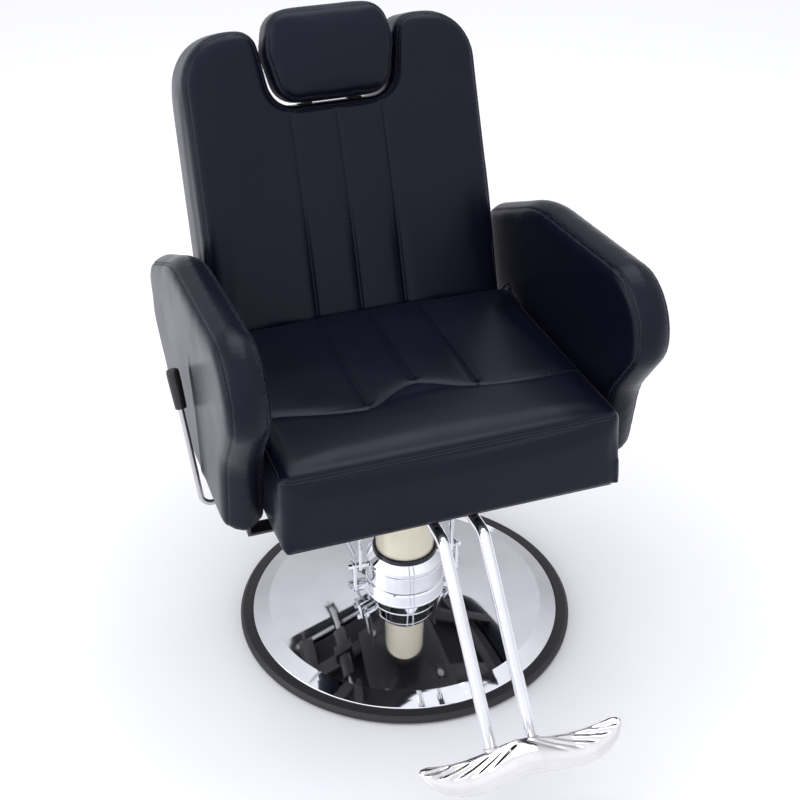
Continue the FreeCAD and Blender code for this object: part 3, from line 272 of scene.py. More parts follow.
def wear_effect():
    """Fine scratches and smudges on hard surfaces, and rubbed edges."""

    def build(nodes, given):
        spot = nodes.add("ShaderNodeTexCoord").outputs["Object"]
        smudge = nodes.add("ShaderNodeTexNoise", Vector=spot, Scale=given.outputs["Smudge Scale"], Detail=5.0)
        stretched = nodes.add("ShaderNodeMapping", Vector=spot)
        stretched.inputs["Scale"].default_value = (1.0, 1.0, 14.0)
        scratch = nodes.add("ShaderNodeTexNoise", Vector=stretched.outputs[0],
                            Scale=given.outputs["Scratch Scale"], Detail=6.0, Roughness=0.7)
        edges = nodes.add("ShaderNodeNewGeometry").outputs["Pointiness"]
        return {
            "Smudge": nodes.ramp(smudge.outputs["Fac"], 0.35, 0.7),
            "Scratch": nodes.ramp(scratch.outputs["Fac"], 0.45, 0.75),
            "Edge": nodes.ramp(edges, 0.52, 0.6),
        }

    return effect_group(
        "Handling Wear", {"Smudge Scale": 18.0, "Scratch Scale": 60.0}, ("Smudge", "Scratch", "Edge"), build)


def new_material(name):
    material = bpy.data.materials.new(name)
    material.use_nodes = True
    nodes = Nodes(material.node_tree)
    shader = nodes.add("ShaderNodeBsdfPrincipled")
    result = nodes.add("ShaderNodeOutputMaterial")
    material.node_tree.links.new(shader.outputs[0], result.inputs["Surface"])
    return material, nodes, shader


def bump(nodes, shader, height, strength, distance):
    node = nodes.add("ShaderNodeBump", Strength=strength, Distance=distance, Height=height)
    nodes.feed(shader, "Normal", node.outputs[0])


def leather_material(name, color, polish_low=0.28, polish_high=0.36):
    """Semi-gloss artificial leather with a fine pebble grain."""
    material, nodes, shader = new_material(name)
    grain = use_group(nodes, grain_effect())
    dark = tuple(0.82 * part for part in color)
    tint = nodes.blend_color(grain.outputs["Patch"], rgba(dark), rgba(color))
    nodes.feed(shader, "Base Color", tint)
    nodes.feed(shader, "Roughness", nodes.ramp(grain.outputs["Patch"], 0.0, 1.0, polish_low, polish_high))
    shader.inputs["Specular IOR Level"].default_value = 0.22
    shader.inputs["Specular Tint"].default_value = (0.84, 0.88, 1.0, 1.0)
    shader.inputs["Sheen Weight"].default_value = 0.06
    shader.inputs["Sheen Roughness"].default_value = 0.25
    shader.inputs["Sheen Tint"].default_value = (0.8, 0.78, 1.0, 1.0)
    bump(nodes, shader, grain.outputs["Height"], 0.16, 0.25 * MM)
    return material


def thread_material(color):
    material, nodes, shader = new_material("sewing_thread")
    spot = nodes.add("ShaderNodeTexCoord").outputs["Object"]
    twist = nodes.add("ShaderNodeTexWave", {"bands_direction": "DIAGONAL"}, Vector=spot, Scale=900.0)
    nodes.feed(shader, "Base Color", nodes.blend_color(
        twist.outputs["Fac"], rgba(tuple(0.6 * part for part in color)), rgba(color)))
    nodes.feed(shader, "Roughness", nodes.ramp(twist.outputs["Fac"], 0.0, 1.0, 0.5, 0.7))
    return material


def metal_material(name, color, polish, worn_polish, scratch=0.03, metallic=1.0, coat=0.0):
    """Plated, cast or painted metal with smudges, hairline scratches and rubbed edges."""
    material, nodes, shader = new_material(name)
    wear = use_group(nodes, wear_effect())
    dull = nodes.math("MAXIMUM", wear.outputs["Smudge"], wear.outputs["Edge"])
    nodes.feed(shader, "Roughness", nodes.ramp(dull, 0.0, 1.0, polish, worn_polish))
    darker = tuple(0.93 * part for part in color)
    nodes.feed(shader, "Base Color", nodes.blend_color(wear.outputs["Smudge"], rgba(color), rgba(darker)))
    shader.inputs["Metallic"].default_value = metallic
    if coat:
        shader.inputs["Coat Roughness"].default_value = 0.05
        nodes.feed(shader, "Coat Weight", nodes.ramp(wear.outputs["Smudge"], 0.0, 1.0, coat, 0.8 * coat))
    bump(nodes, shader, wear.outputs["Scratch"], scratch, 0.05 * MM)
    return material


def plastic_material(name, color, polish, grain_strength, pebble=900.0):
    """Moulded plastic or rubber with a fine texture."""
    material, nodes, shader = new_material(name)
    grain = use_group(nodes, grain_effect(), Pebble_Scale=pebble)
    pale = tuple(min(1.0, 1.35 * part) for part in color)
    nodes.feed(shader, "Base Color", nodes.blend_color(grain.outputs["Patch"], rgba(color), rgba(pale)))
    nodes.feed(shader, "Roughness", nodes.ramp(grain.outputs["Patch"], 0.0, 1.0, polish, polish + 0.1))
    bump(nodes, shader, grain.outputs["Height"], grain_strength, 0.2 * MM)
    return material


def plywood_material():
    """Birch plywood: long grain with darker lines."""
    material, nodes, shader = new_material("birch_plywood")
    spot = nodes.add("ShaderNodeTexCoord").outputs["Object"]
    long = nodes.add("ShaderNodeMapping", Vector=spot)
    long.inputs["Scale"].default_value = (1.0, 8.0, 8.0)
    grain = nodes.add("ShaderNodeTexNoise", Vector=long.outputs[0], Scale=14.0, Detail=8.0, Distortion=0.4)
    nodes.feed(shader, "Base Color", nodes.blend_color(
        grain.outputs["Fac"], (0.42, 0.27, 0.14, 1.0), (0.72, 0.56, 0.36, 1.0)))
    nodes.feed(shader, "Roughness", nodes.ramp(grain.outputs["Fac"], 0.0, 1.0, 0.55, 0.75))
    bump(nodes, shader, grain.outputs["Fac"], 0.2, 0.2 * MM)
    return material


FINISHES = {}


def make_finishes():
    chrome = tuple(metal().chrome_color)
    leather = tuple(covers().leather_color)
    FINISHES.update({
        "leather": leather_material("black_leather", leather),
        "backing": leather_material("rear_panel_vinyl", leather, 0.45, 0.6),
        "thread": thread_material(tuple(covers().thread_color)),
        "chrome": metal_material("mirror_chrome", chrome, 0.025, 0.07),
        "cast": metal_material("polished_casting", (0.80, 0.79, 0.78), 0.06, 0.16, 0.08),
        "steel": metal_material("plain_steel", (0.52, 0.52, 0.53), 0.25, 0.42, 0.2),
        "bronze": metal_material("bearing_bronze", (0.62, 0.42, 0.2), 0.25, 0.4, 0.15),
        "iron": metal_material("grey_iron", (0.16, 0.16, 0.165), 0.5, 0.75, 0.5),
        "ivory": metal_material("ivory_enamel", tuple(metal().cylinder_color), 0.2, 0.28, 0.04, 0.0, 0.6),
        "frame_paint": metal_material("black_frame_paint", (0.014, 0.014, 0.016), 0.32, 0.5, 0.15, 0.0, 0.2),
        "rubber": plastic_material("black_rubber", (0.012, 0.012, 0.014), 0.48, 0.25),
        "grip": plastic_material("grip_plastic", (0.012, 0.012, 0.013), 0.28, 0.12, 500.0),
        "plywood": plywood_material(),
        "dust_cloth": plastic_material("black_dust_cloth", (0.006, 0.006, 0.008), 0.7, 0.4),
        # near-black metal for the pump collar's neck: a painted dark reflection in place of the chrome's own
        "neck_painted_reflection": metal_material("dark_neck_painted_reflection", (0.05, 0.05, 0.06), 0.18, 0.3, 0.05),
    })


# ---------------------------------------------------------------- mesh helpers

def link(obj):
    bpy.context.scene.collection.objects.link(obj)
    return obj


def mesh_object(name, points, faces, finish=None):
    """A new object at the origin from points and faces, with its faces turned outwards."""
    mesh = bpy.data.meshes.new(name)
    mesh.from_pydata([tuple(point) for point in points], [], faces)
    work = bmesh.new()
    work.from_mesh(mesh)
    bmesh.ops.recalc_face_normals(work, faces=work.faces)
    work.to_mesh(mesh)
    work.free()
    mesh.shade_smooth()
    if finish:
        mesh.materials.append(FINISHES[finish])
    return link(bpy.data.objects.new(name, mesh))


def settle(obj):
    """Applies every modifier: the object keeps the mesh that they make."""
    bpy.context.view_layer.update()
    graph = bpy.context.evaluated_depsgraph_get()
    made = bpy.data.meshes.new_from_object(obj.evaluated_get(graph), depsgraph=graph)
    old = obj.data
    obj.modifiers.clear()
    obj.data = made
    made.name = obj.name
    if old.users == 0:
        bpy.data.meshes.remove(old)
    return obj


def read_points(mesh):
    flat = np.empty(len(mesh.vertices) * 3, np.float32)
    mesh.vertices.foreach_get("co", flat)
    return flat.reshape(-1, 3).astype(float)


def write_points(mesh, points):
    mesh.vertices.foreach_set("co", points.astype(np.float32).ravel())
    mesh.update()


def read_normals(mesh):
    flat = np.empty(len(mesh.vertices) * 3, np.float32)
    mesh.vertices.foreach_get("normal", flat)
    return flat.reshape(-1, 3).astype(float)


def smoothstep(value):
    value = np.clip(value, 0.0, 1.0)
    return value * value * (3 - 2 * value)


def slice_loop(node, axis, level, to_local=None):
    """The longest closed line where a plane cuts a CAD node, in order, in a local frame."""
    work = bmesh.new()
    work.from_mesh(frame["nodes"][node].data)
    if to_local:
        bmesh.ops.transform(work, matrix=to_local, verts=work.verts)
    bmesh.ops.remove_doubles(work, verts=work.verts, dist=1e-6)
    spot, normal = Vector(), Vector()
    spot[axis] = level
    normal[axis] = 1.0
    geometry = work.verts[:] + work.edges[:] + work.faces[:]
    cut = bmesh.ops.bisect_plane(work, geom=geometry, plane_co=spot, plane_no=normal, dist=1e-7)
    edges = {item for item in cut["geom_cut"] if isinstance(item, bmesh.types.BMEdge)}
    loops = []
    while edges:
        first = edges.pop()
        chain = [first.verts[0], first.verts[1]]
        going = True
        while going:
            going = False
            for edge in chain[-1].link_edges:
                if edge in edges:
                    edges.remove(edge)
                    chain.append(edge.other_vert(chain[-1]))
                    going = True
                    break
        loops.append(np.array([tuple(vert.co) for vert in chain]))
    work.free()

    def length(line):
        return np.linalg.norm(np.diff(line, axis=0), axis=1).sum()

    longest = max(loops, key=length)
    others = [i for i in range(3) if i != axis]
    return longest[:, others]


def respaced(line, spacing, closed=False):
    """The same line with its points an even distance apart."""
    line = np.asarray(line, float)
    if closed and np.linalg.norm(line[0] - line[-1]) > 1e-6:
        line = np.vstack([line, line[:1]])
    steps = np.linalg.norm(np.diff(line, axis=0), axis=1)
    line = line[np.concatenate([[True], steps > 1e-9])]
    along = np.concatenate([[0], np.cumsum(np.linalg.norm(np.diff(line, axis=0), axis=1))])
    count = max(2, int(round(along[-1] / spacing)) + 1)
    at = np.linspace(0, along[-1], count)
    spread = np.stack([np.interp(at, along, line[:, i]) for i in range(line.shape[1])], axis=1)
    return spread[:-1] if closed else spread


def turned_area(loop):
    following = np.roll(loop, -1, axis=0)
    return 0.5 * np.sum(loop[:, 0] * following[:, 1] - following[:, 0] * loop[:, 1])


def moved_in(loop, distance):
    """A closed flat loop moved inwards everywhere by a distance."""
    ahead = np.roll(loop, -2, axis=0) - np.roll(loop, 2, axis=0)
    ahead /= np.linalg.norm(ahead, axis=1)[:, None]
    inward = np.stack([-ahead[:, 1], ahead[:, 0]], axis=1) * np.sign(turned_area(loop))
    return loop + inward * distance


def to_space(flat, axis, depth):
    """Flat points put back into space at a depth along the axis."""
    depth = np.broadcast_to(depth, (len(flat),))
    columns = [flat[:, 0], flat[:, 1]]
    columns.insert(axis, depth)
    return np.stack(columns, axis=1)


def block(loop, axis, low, high, round_low, round_high, crown=0.0, steps=6):
    """A closed block with this outline: its ends are rounded over and its band can be crowned."""
    rings = []
    for k in range(steps + 1):
        angle = math.pi / 2 * k / steps
        rings.append((crown + round_low * (1 - math.sin(angle)), low + round_low * (1 - math.cos(angle))))
    for share in np.linspace(0, 1, 2 * steps + 1)[1:-1]:
        depth = low + round_low + share * (high - round_high - low - round_low)
        rings.append((crown * (2 * share - 1) ** 2, depth))
    for k in range(steps, -1, -1):
        angle = math.pi / 2 * k / steps
        rings.append((crown + round_high * (1 - math.sin(angle)), high - round_high * (1 - math.cos(angle))))
    points = np.vstack([to_space(moved_in(loop, inset), axis, depth) for inset, depth in rings])
    count = len(loop)
    faces = [tuple(range(count)), tuple(range((len(rings) - 1) * count, len(rings) * count))]
    for ring in range(len(rings) - 1):
        start = ring * count
        for i in range(count):
            following = (i + 1) % count
            faces.append((start + i, start + following, start + count + following, start + count + i))
    return points, faces


def turned(name, profile, finish, steps):
    """A closed profile of (radius, height) points spun about Z."""
    count = len(profile)
    points = []
    for k in range(steps):
        angle = 2 * math.pi * k / steps
        for radius, height in profile:
            points.append((radius * math.cos(angle), radius * math.sin(angle), height))
    faces = []
    for k in range(steps):
        here, there = k * count, (k + 1) % steps * count
        for i in range(count):
            following = (i + 1) % count
            faces.append((here + i, there + i, there + following, here + following))
    return mesh_object(name, points, faces, finish)


def eased_corners(loop, radius, steps=4):
    """A closed flat loop with its corners rounded, and a point beside each that keeps the faces flat."""
    keep = []
    count = len(loop)
    for i in range(count):
        before, here, after = loop[i - 1], loop[i], loop[(i + 1) % count]
        back, ahead = before - here, after - here
        turn = abs(np.cross(back, ahead)) / (np.linalg.norm(back) * np.linalg.norm(ahead) + 1e-12)
        if turn > 0.003:
            keep.append(here)
    rounded = []
    count = len(keep)
    for i in range(count):
        before, here, after = keep[i - 1], keep[i], keep[(i + 1) % count]
        back, ahead = before - here, after - here
        reach = min(np.linalg.norm(back), np.linalg.norm(ahead)) * 0.45
        back = back / np.linalg.norm(back)
        ahead = ahead / np.linalg.norm(ahead)
        half = 0.5 * math.acos(float(np.clip(back @ ahead, -1, 1)))
        trim = min(reach, radius / max(math.tan(half), 1e-6))
        outer = min(1.3 * trim, 1.08 * reach)
        start, end = here + back * trim, here + ahead * trim
        rounded.append(here + back * outer)
        for k in range(steps + 1):
            share = k / steps
            rounded.append((1 - share) ** 2 * start + 2 * share * (1 - share) * here + share ** 2 * end)
        rounded.append(here + ahead * outer)
    return rounded


# ---------------------------------------------------------------- sewing

class Seam:
    """A sewn line on a pad: its guide, its crease, and the rows of stitches beside it."""

    def __init__(self, guide, depth=1.0, width=1.0, valley=0.0, valley_width=14 * MM,
                 rows=(), closed=False, tucked=False):
        self.guide = respaced(guide, 1.5 * MM, closed)
        self.depth = depth * covers().seam_depth
        self.width = width * covers().seam_width
        self.valley = valley
        self.valley_width = valley_width
        self.rows = rows
        self.closed = closed
        self.tucked = tucked


STITCH_LINES = {}


def nearest_samples(points, samples):
    """The distance to, and the number of, the nearest sample for each point."""
    tree = KDTree(len(samples))
    for i, sample in enumerate(samples):
        tree.insert(sample, i)
    tree.balance()
    found = [tree.find(point) for point in points]
    return np.array([hit[2] for hit in found]), np.array([hit[1] for hit in found])


def tangents(line, closed):
    if closed:
        ahead = np.roll(line, -1, axis=0) - np.roll(line, 1, axis=0)
    else:
        ahead = np.gradient(line, axis=0)
    return ahead / (np.linalg.norm(ahead, axis=1)[:, None] + 1e-12)


def surface_of(mesh):
    work = bmesh.new()
    work.from_mesh(mesh)
    tree = BVHTree.FromBMesh(work)
    work.free()
    return tree


def on_surface(tree, line):
    hits = [tree.find_nearest(point) for point in line]
    return np.array([tuple(hit[0]) for hit in hits]), np.array([tuple(hit[1]) for hit in hits])


def evened(line, closed, rounds=6):
    for _ in range(rounds):
        if closed:
            line = (np.roll(line, 1, axis=0) + 2 * line + np.roll(line, -1, axis=0)) / 4
        else:
            line = line.copy()
            line[1:-1] = (line[:-2] + 2 * line[1:-1] + line[2:]) / 4
    return line


def sew(obj, seams, body):
    """Presses the seams into a pad and keeps the rows that its stitches follow."""
    mesh = obj.data
    points = read_points(mesh)
    normals = read_normals(mesh)
    skin = surface_of(mesh)
    lines = []
    for seam in seams:
        line, _ = on_surface(skin, seam.guide)
        lines.append(evened(line, seam.closed))
    samples = np.vstack(lines)
    owner = np.concatenate([np.full(len(line), i) for i, line in enumerate(lines)])
    run = np.concatenate([np.arange(len(line)) * 1.5 * MM for line in lines])
    ends = np.concatenate([
        np.ones(len(line)) if seam.closed or seam.tucked else smoothstep(
            np.minimum(np.arange(len(line)), np.arange(len(line))[::-1]) * 1.5 / 18.0)
        for line, seam in zip(lines, seams)
    ])
    distance, nearest = nearest_samples(points, samples)
    which = owner[nearest]
    depth = np.array([seam.depth for seam in seams])[which] * ends[nearest]
    width = np.array([seam.width for seam in seams])[which]
    valley = np.array([seam.valley for seam in seams])[which] * ends[nearest]
    valley_width = np.array([seam.valley_width for seam in seams])[which]
    pulled = samples[nearest] - points
    pulled -= np.sum(pulled * normals, axis=1)[:, None] * normals
    snap = smoothstep(1.35 - distance / (1.5 * MM)) * (ends[nearest] > 0.05)
    points += pulled * snap[:, None]
    distance = distance * (1 - snap)
    sink = valley * np.exp(-(distance / valley_width) ** 2) + depth * np.exp(-(distance / width) ** 2)
    pucker = 0.22 * MM * np.sin(run[nearest] / (9 * MM) * 2 * math.pi) * np.exp(-(distance / (7 * MM)) ** 2)
    sink += pucker * (depth > 0) * (distance > width)
    points -= normals * sink[:, None]
    write_points(mesh, points)
    skin = surface_of(mesh)
    for seam, line in zip(seams, lines):
        for offset in seam.rows:
            settled, facing = on_surface(skin, line)
            sideways = np.cross(facing, tangents(settled, seam.closed))
            sideways /= np.linalg.norm(sideways, axis=1)[:, None] + 1e-12
            row = evened(settled + evened(sideways, seam.closed) * offset, seam.closed, 3)
            row, facing = on_surface(skin, row)
            STITCH_LINES.setdefault(body, []).append((row, facing, seam.closed))
    return obj


def evened_out(mesh, field, rounds):
    """Averages a value per vertex with its neighbours', a number of times."""
    edges = np.empty(len(mesh.edges) * 2, np.int32)
    mesh.edges.foreach_get("vertices", edges)
    first, second = edges.reshape(-1, 2).T
    count = np.bincount(edges, minlength=len(field))[:, None] + 1.0
    for _ in range(rounds):
        total = field.copy()
        np.add.at(total, first, field[second])
        np.add.at(total, second, field[first])
        field = total / count
    return field


def blown_up(obj, sewn_lines, held, swell, cap):
    """Swells a pad and blows it up as cloth held at its sewn lines, within a cap."""
    start = read_points(obj.data)
    points = start + read_normals(obj.data) * (swell * (1 - held(start)))[:, None]
    weights = np.zeros(len(start))
    if sewn_lines:
        distance, _ = nearest_samples(start, np.vstack(sewn_lines))
        weights = np.exp(-(distance / (7 * MM)) ** 2)
    weights = np.maximum(weights, held(start))
    group = obj.vertex_groups.new(name="sewn")
    for i in np.nonzero(weights > 0.02)[0]:
        group.add([int(i)], float(weights[i]), "REPLACE")
    cloth = obj.modifiers.new("Cloth", "CLOTH")
    cloth.settings.quality = 4
    cloth.settings.mass = 0.4
    cloth.settings.tension_stiffness = 22
    cloth.settings.compression_stiffness = 12
    cloth.settings.shear_stiffness = 12
    cloth.settings.bending_stiffness = 1.2
    cloth.settings.use_pressure = True
    cloth.settings.uniform_pressure_force = covers().pressure
    cloth.settings.effector_weights.gravity = 0
    cloth.settings.vertex_group_mass = "sewn"
    cloth.collision_settings.use_collision = False
    cloth.point_cache.frame_start = 1
    cloth.point_cache.frame_end = 20
    for step in range(1, 21):
        bpy.context.scene.frame_set(step)
    settle(obj)
    bpy.context.scene.frame_set(1)
    moved = evened_out(obj.data, read_points(obj.data) - start, 12)
    distance = np.linalg.norm(moved, axis=1)[:, None] + 1e-12
    points = points + moved / distance * cap * np.tanh(distance / cap)
    write_points(obj.data, points)
    return obj


def remeshed(name, points, faces, finish, voxel, relax=8):
    """The same closed shape in even quads, with its corners relaxed."""
    obj = mesh_object(name, points, faces, finish)
    remesh = obj.modifiers.new("Even quads", "REMESH")
    remesh.mode = "VOXEL"
    remesh.voxel_size = voxel
    remesh.use_smooth_shade = True
    smooth = obj.modifiers.new("Relax", "SMOOTH")
    smooth.factor = 0.5
    smooth.iterations = relax
    return settle(obj)


def refined(obj):
    subdivide = obj.modifiers.new("Fine", "SUBSURF")
    subdivide.levels = 1
    subdivide.render_levels = 1
    settle(obj)
    obj.data.shade_smooth()
    return obj


def finish_mesh(obj, finish):
    obj.data.materials.clear()
    obj.data.materials.append(FINISHES[finish])
    obj.data.shade_smooth()
    return obj


# ---------------------------------------------------------------- upholstery pieces

def seat_cover():
    """The seat: a crowned cushion with three channels, a wavy seam and a sewn front edge."""
    look = covers()
    low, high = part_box("seat_cushion")
    swell = look.swell
    inside = high.x - 8 * MM
    loop = respaced(slice_loop("seat_cushion", 0, inside), 3 * MM, closed=True)
    points, faces = block(moved_in(loop, swell), 0, low.x + swell, high.x - swell, 16 * MM, 16 * MM)
    seat = remeshed("seat_cover", points, faces, "leather", look.voxel)

    front, top = low.y, high.z
    rear = high.y
    channel_x = 93 * MM
    wave = [(-0.282, -0.062), (-0.234, -0.071), (-0.154, -0.094), (-0.101, -0.1015), (-0.075, -0.090),
            (-0.050, -0.0715), (-0.010, -0.051), (0.021, -0.059), (0.074, -0.086), (0.130, -0.100),
            (0.195, -0.102), (0.269, -0.092), (0.282, -0.089)]
    wave = curve_through([(x, y, top) for x, y in wave])
    channels = []
    for x in (-channel_x, 0.0, channel_x):
        start = wave[np.argmin(abs(wave[:, 0] - x))]
        channels.append(np.array([(x, start[1], top), (x, rear, top - 4 * MM)]))

    points = read_points(seat.data)
    upper = smoothstep((points[:, 2] - (top - 0.06)) / 0.05)
    across = np.clip(1 - (points[:, 0] / high.x) ** 2, 0, 1)
    behind = smoothstep((points[:, 1] - front) / 0.12)
    points[:, 2] += upper * across * behind * 4 * MM
    write_points(seat.data, points)

    def held(spots):
        under = smoothstep((low.z + 14 * MM - spots[:, 2]) / (8 * MM))
        return np.clip(under, 0, 1)

    lines = [respaced(line, 3 * MM) for line in [wave, *channels]]
    blown_up(seat, lines, held, 0.9 * swell, look.slack)
    refined(seat)
    edge_z = top - 3 * MM
    front_edge = [(x, front + 3 * MM, edge_z) for x in np.linspace(low.x + 8 * MM, high.x - 8 * MM, 60)]
    fold = [(x, front, edge_z - (12 + 13 * math.cos(x / 0.26 * math.pi / 2)) * MM)
            for x in np.linspace(-0.235, 0.235, 60)]
    side_edges = [
        [(sign * (high.x - 3 * MM), front + 8 * MM, edge_z), (sign * (high.x - 3 * MM), rear - 0.02, edge_z)]
        for sign in (-1, 1)
    ]
    seams = [
        Seam(wave, 1.0, 1.0, 1.0 * MM, 9 * MM, (-3.4 * MM,), tucked=True),
        Seam(front_edge, 0.9, 0.9, 0.8 * MM, 8 * MM, (3.2 * MM, -3.2 * MM), tucked=True),
        Seam(fold, 0.35, 3.0, 2.6 * MM, 10 * MM),
    ]
    seams += [Seam(line, 1.5, 1.0, 2.0 * MM, 9 * MM) for line in channels]
    seams += [Seam(line, 0.8, 0.9, 0.0, 10 * MM, (3.2 * MM,)) for line in side_edges]
    sew(seat, seams, "seat")
    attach(seat, "seat")
    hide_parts("seat_cushion")


def curve_through(points, spacing=1.5 * MM):
    """An even line along a smooth curve through the points."""
    points = np.asarray(points, float)
    padded = np.vstack([2 * points[0] - points[1], points, 2 * points[-1] - points[-2]])
    line = []
    for a, b, c, d in zip(padded, padded[1:], padded[2:], padded[3:]):
        for share in np.linspace(0, 1, 24, endpoint=False):
            line.append(0.5 * (2 * b + (c - a) * share + (2 * a - 5 * b + 4 * c - d) * share ** 2
                               + (3 * b - a - 3 * c + d) * share ** 3))
    line.append(points[-1])
    return respaced(line, spacing)


def back_frame():
    """The back's own frame: X across, Y into its depth, Z up along its face."""
    up = Vector(JOINTS["headrest_height"]["axis"])
    lean = math.atan2(up.y, up.z)
    turn = Matrix.Rotation(-lean, 4, "X")
    points = read_points(frame["nodes"]["back_cushion"].data)
    local = points @ np.array(turn.inverted().to_3x3()).T
    face = Vector((0.0, local[:, 1].min(), local[:, 2].min()))
    return Matrix.Translation(turn @ face) @ turn


def local_box(node, matrix):
    points = read_points(frame["nodes"][node].data)
    inverse = np.array(matrix.inverted())
    local = points @ inverse[:3, :3].T + inverse[:3, 3]
    return Vector(local.min(0)), Vector(local.max(0))


def back_cover():
    """The back: a shouldered cushion with a notch, three channels and a welted front edge."""
    look = covers()
    place = back_frame()
    low, high = local_box("back_cushion", place)
    swell = look.swell
    loop = respaced(slice_loop("back_cushion", 1, low.y + 20 * MM, place.inverted()), 3 * MM, closed=True)
    points, faces = block(moved_in(loop, swell), 1, low.y + swell, high.y - 0.5 * MM, 14 * MM, 6 * MM)
    back = remeshed("back_cover", points, faces, "leather", look.voxel)

    notch_points = loop[(abs(loop[:, 0]) < 0.02) & (loop[:, 1] > 0.2)]
    notch = notch_points[:, 1].max()
    half = high.x
    channel_x = 82 * MM
    channels = [np.array([(x, low.y, low.z + 4 * MM), (x, low.y, notch - 2 * MM)])
                for x in (-channel_x, 0.0, channel_x)]

    points = read_points(back.data)
    face = smoothstep(1 - (points[:, 1] - low.y) / 0.07)
    wing = smoothstep((abs(points[:, 0]) - 0.10) / 0.14)
    crown = smoothstep(points[:, 2] / 0.25)
    points[:, 1] -= face * wing * crown * 15 * MM
    lumbar = np.exp(-((points[:, 2] - 0.20) / 0.13) ** 2)
    points[:, 1] -= face * (1 - wing) * lumbar * 5 * MM
    write_points(back.data, points)

    def held(spots):
        return smoothstep((spots[:, 1] - (high.y - 22 * MM)) / (12 * MM))

    blown_up(back, [respaced(line, 3 * MM) for line in channels], held, 0.9 * swell, look.slack)
    refined(back)
    edge = moved_in(loop, 7 * MM)
    on_edge = to_space(edge, 1, low.y + 8 * MM)
    on_edge[:, 1] -= 15 * MM * smoothstep((abs(edge[:, 0]) - 0.10) / 0.14) * smoothstep(edge[:, 1] / 0.25)
    rear_edge = to_space(moved_in(loop, 0.0), 1, high.y - 14 * MM)
    seams = [Seam(on_edge, 0.9, 0.9, 0.8 * MM, 9 * MM, (-3.4 * MM, 3.4 * MM), closed=True)]
    seams += [Seam(line, 1.6, 1.0, 2.4 * MM, 10 * MM) for line in channels]
    seams += [Seam(rear_edge, 0.8, 0.9, 0.3 * MM, 8 * MM, (3.2 * MM,), closed=True)]
    settled_in(back, place, seams)
    sew(back, seams, "back")
    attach(back, "back")
    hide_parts("back_cushion")


def settled_in(obj, place, seams):
    """Puts a pad and its seams from the back's own frame into the chair's."""
    obj.data.transform(place)
    matrix = np.array(place)
    for seam in seams:
        seam.guide = seam.guide @ matrix[:3, :3].T + matrix[:3, 3]


def back_shell():
    """The panel that closes the back: a vinyl-covered board with a rolled edge."""
    look = covers()
    place = back_frame()
    low, high = local_box("back_panel", place)
    loop = respaced(slice_loop("back_panel", 1, (low.y + high.y) / 2, place.inverted()), 3 * MM, closed=True)
    points, faces = block(loop, 1, low.y, high.y, 0.5 * MM, 3.5 * MM)
    shell = remeshed("back_shell", points, faces, "backing", 0.7 * look.voxel, 3)
    points = read_points(shell.data)
    rear = smoothstep((points[:, 1] - low.y) / (high.y - low.y))
    inside = np.clip(1 - (points[:, 0] / high.x) ** 2, 0, 1) * np.clip(
        1 - ((points[:, 2] - 0.25) / 0.3) ** 2, 0, 1)
    points[:, 1] += rear * inside * 3.5 * MM
    write_points(shell.data, points)
    shell.data.transform(place)
    finish_mesh(shell, "backing")
    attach(shell, "back")
    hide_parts("back_panel")


def headrest_cover():
    """The headrest: a plump bean with a welted seam round its face."""
    look = covers()
    place = back_frame()
    low, high = local_box("headrest_pad", place)
    swell = 0.8 * look.swell
    loop = respaced(slice_loop("headrest_pad", 1, low.y + 35 * MM, place.inverted()), 2.5 * MM, closed=True)
    points, faces = block(moved_in(loop, swell), 1, low.y + swell, high.y - swell, 15 * MM, 8 * MM)
    pad = remeshed("headrest_cover", points, faces, "leather", 0.8 * look.voxel)
    points = read_points(pad.data)
    middle = (low.z + high.z) / 2
    face = smoothstep(1 - (points[:, 1] - low.y) / 0.04)
    plump = np.clip(1 - (points[:, 0] / high.x) ** 2, 0, 1) * np.clip(
        1 - ((points[:, 2] - middle) / (high.z - middle)) ** 2, 0, 1)
    points[:, 1] -= face * plump * 9 * MM
    write_points(pad.data, points)

    def held(spots):
        return smoothstep((spots[:, 1] - (high.y - 16 * MM)) / (8 * MM))

    blown_up(pad, [], held, 1.1 * swell, 0.6 * look.slack)
    refined(pad)
    edge = to_space(moved_in(loop, 8 * MM), 1, low.y + 9 * MM)
    rear_edge = to_space(loop, 1, high.y - 12 * MM)
    seams = [
        Seam(edge, 0.9, 0.9, 0.6 * MM, 7 * MM, (-3.0 * MM, 3.0 * MM), closed=True),
        Seam(rear_edge, 0.7, 0.9, 0.0, 7 * MM, (2.8 * MM,), closed=True),
    ]
    settled_in(pad, place, seams)
    sew(pad, seams, "headrest")
    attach(pad, "headrest")
    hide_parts("headrest_pad")


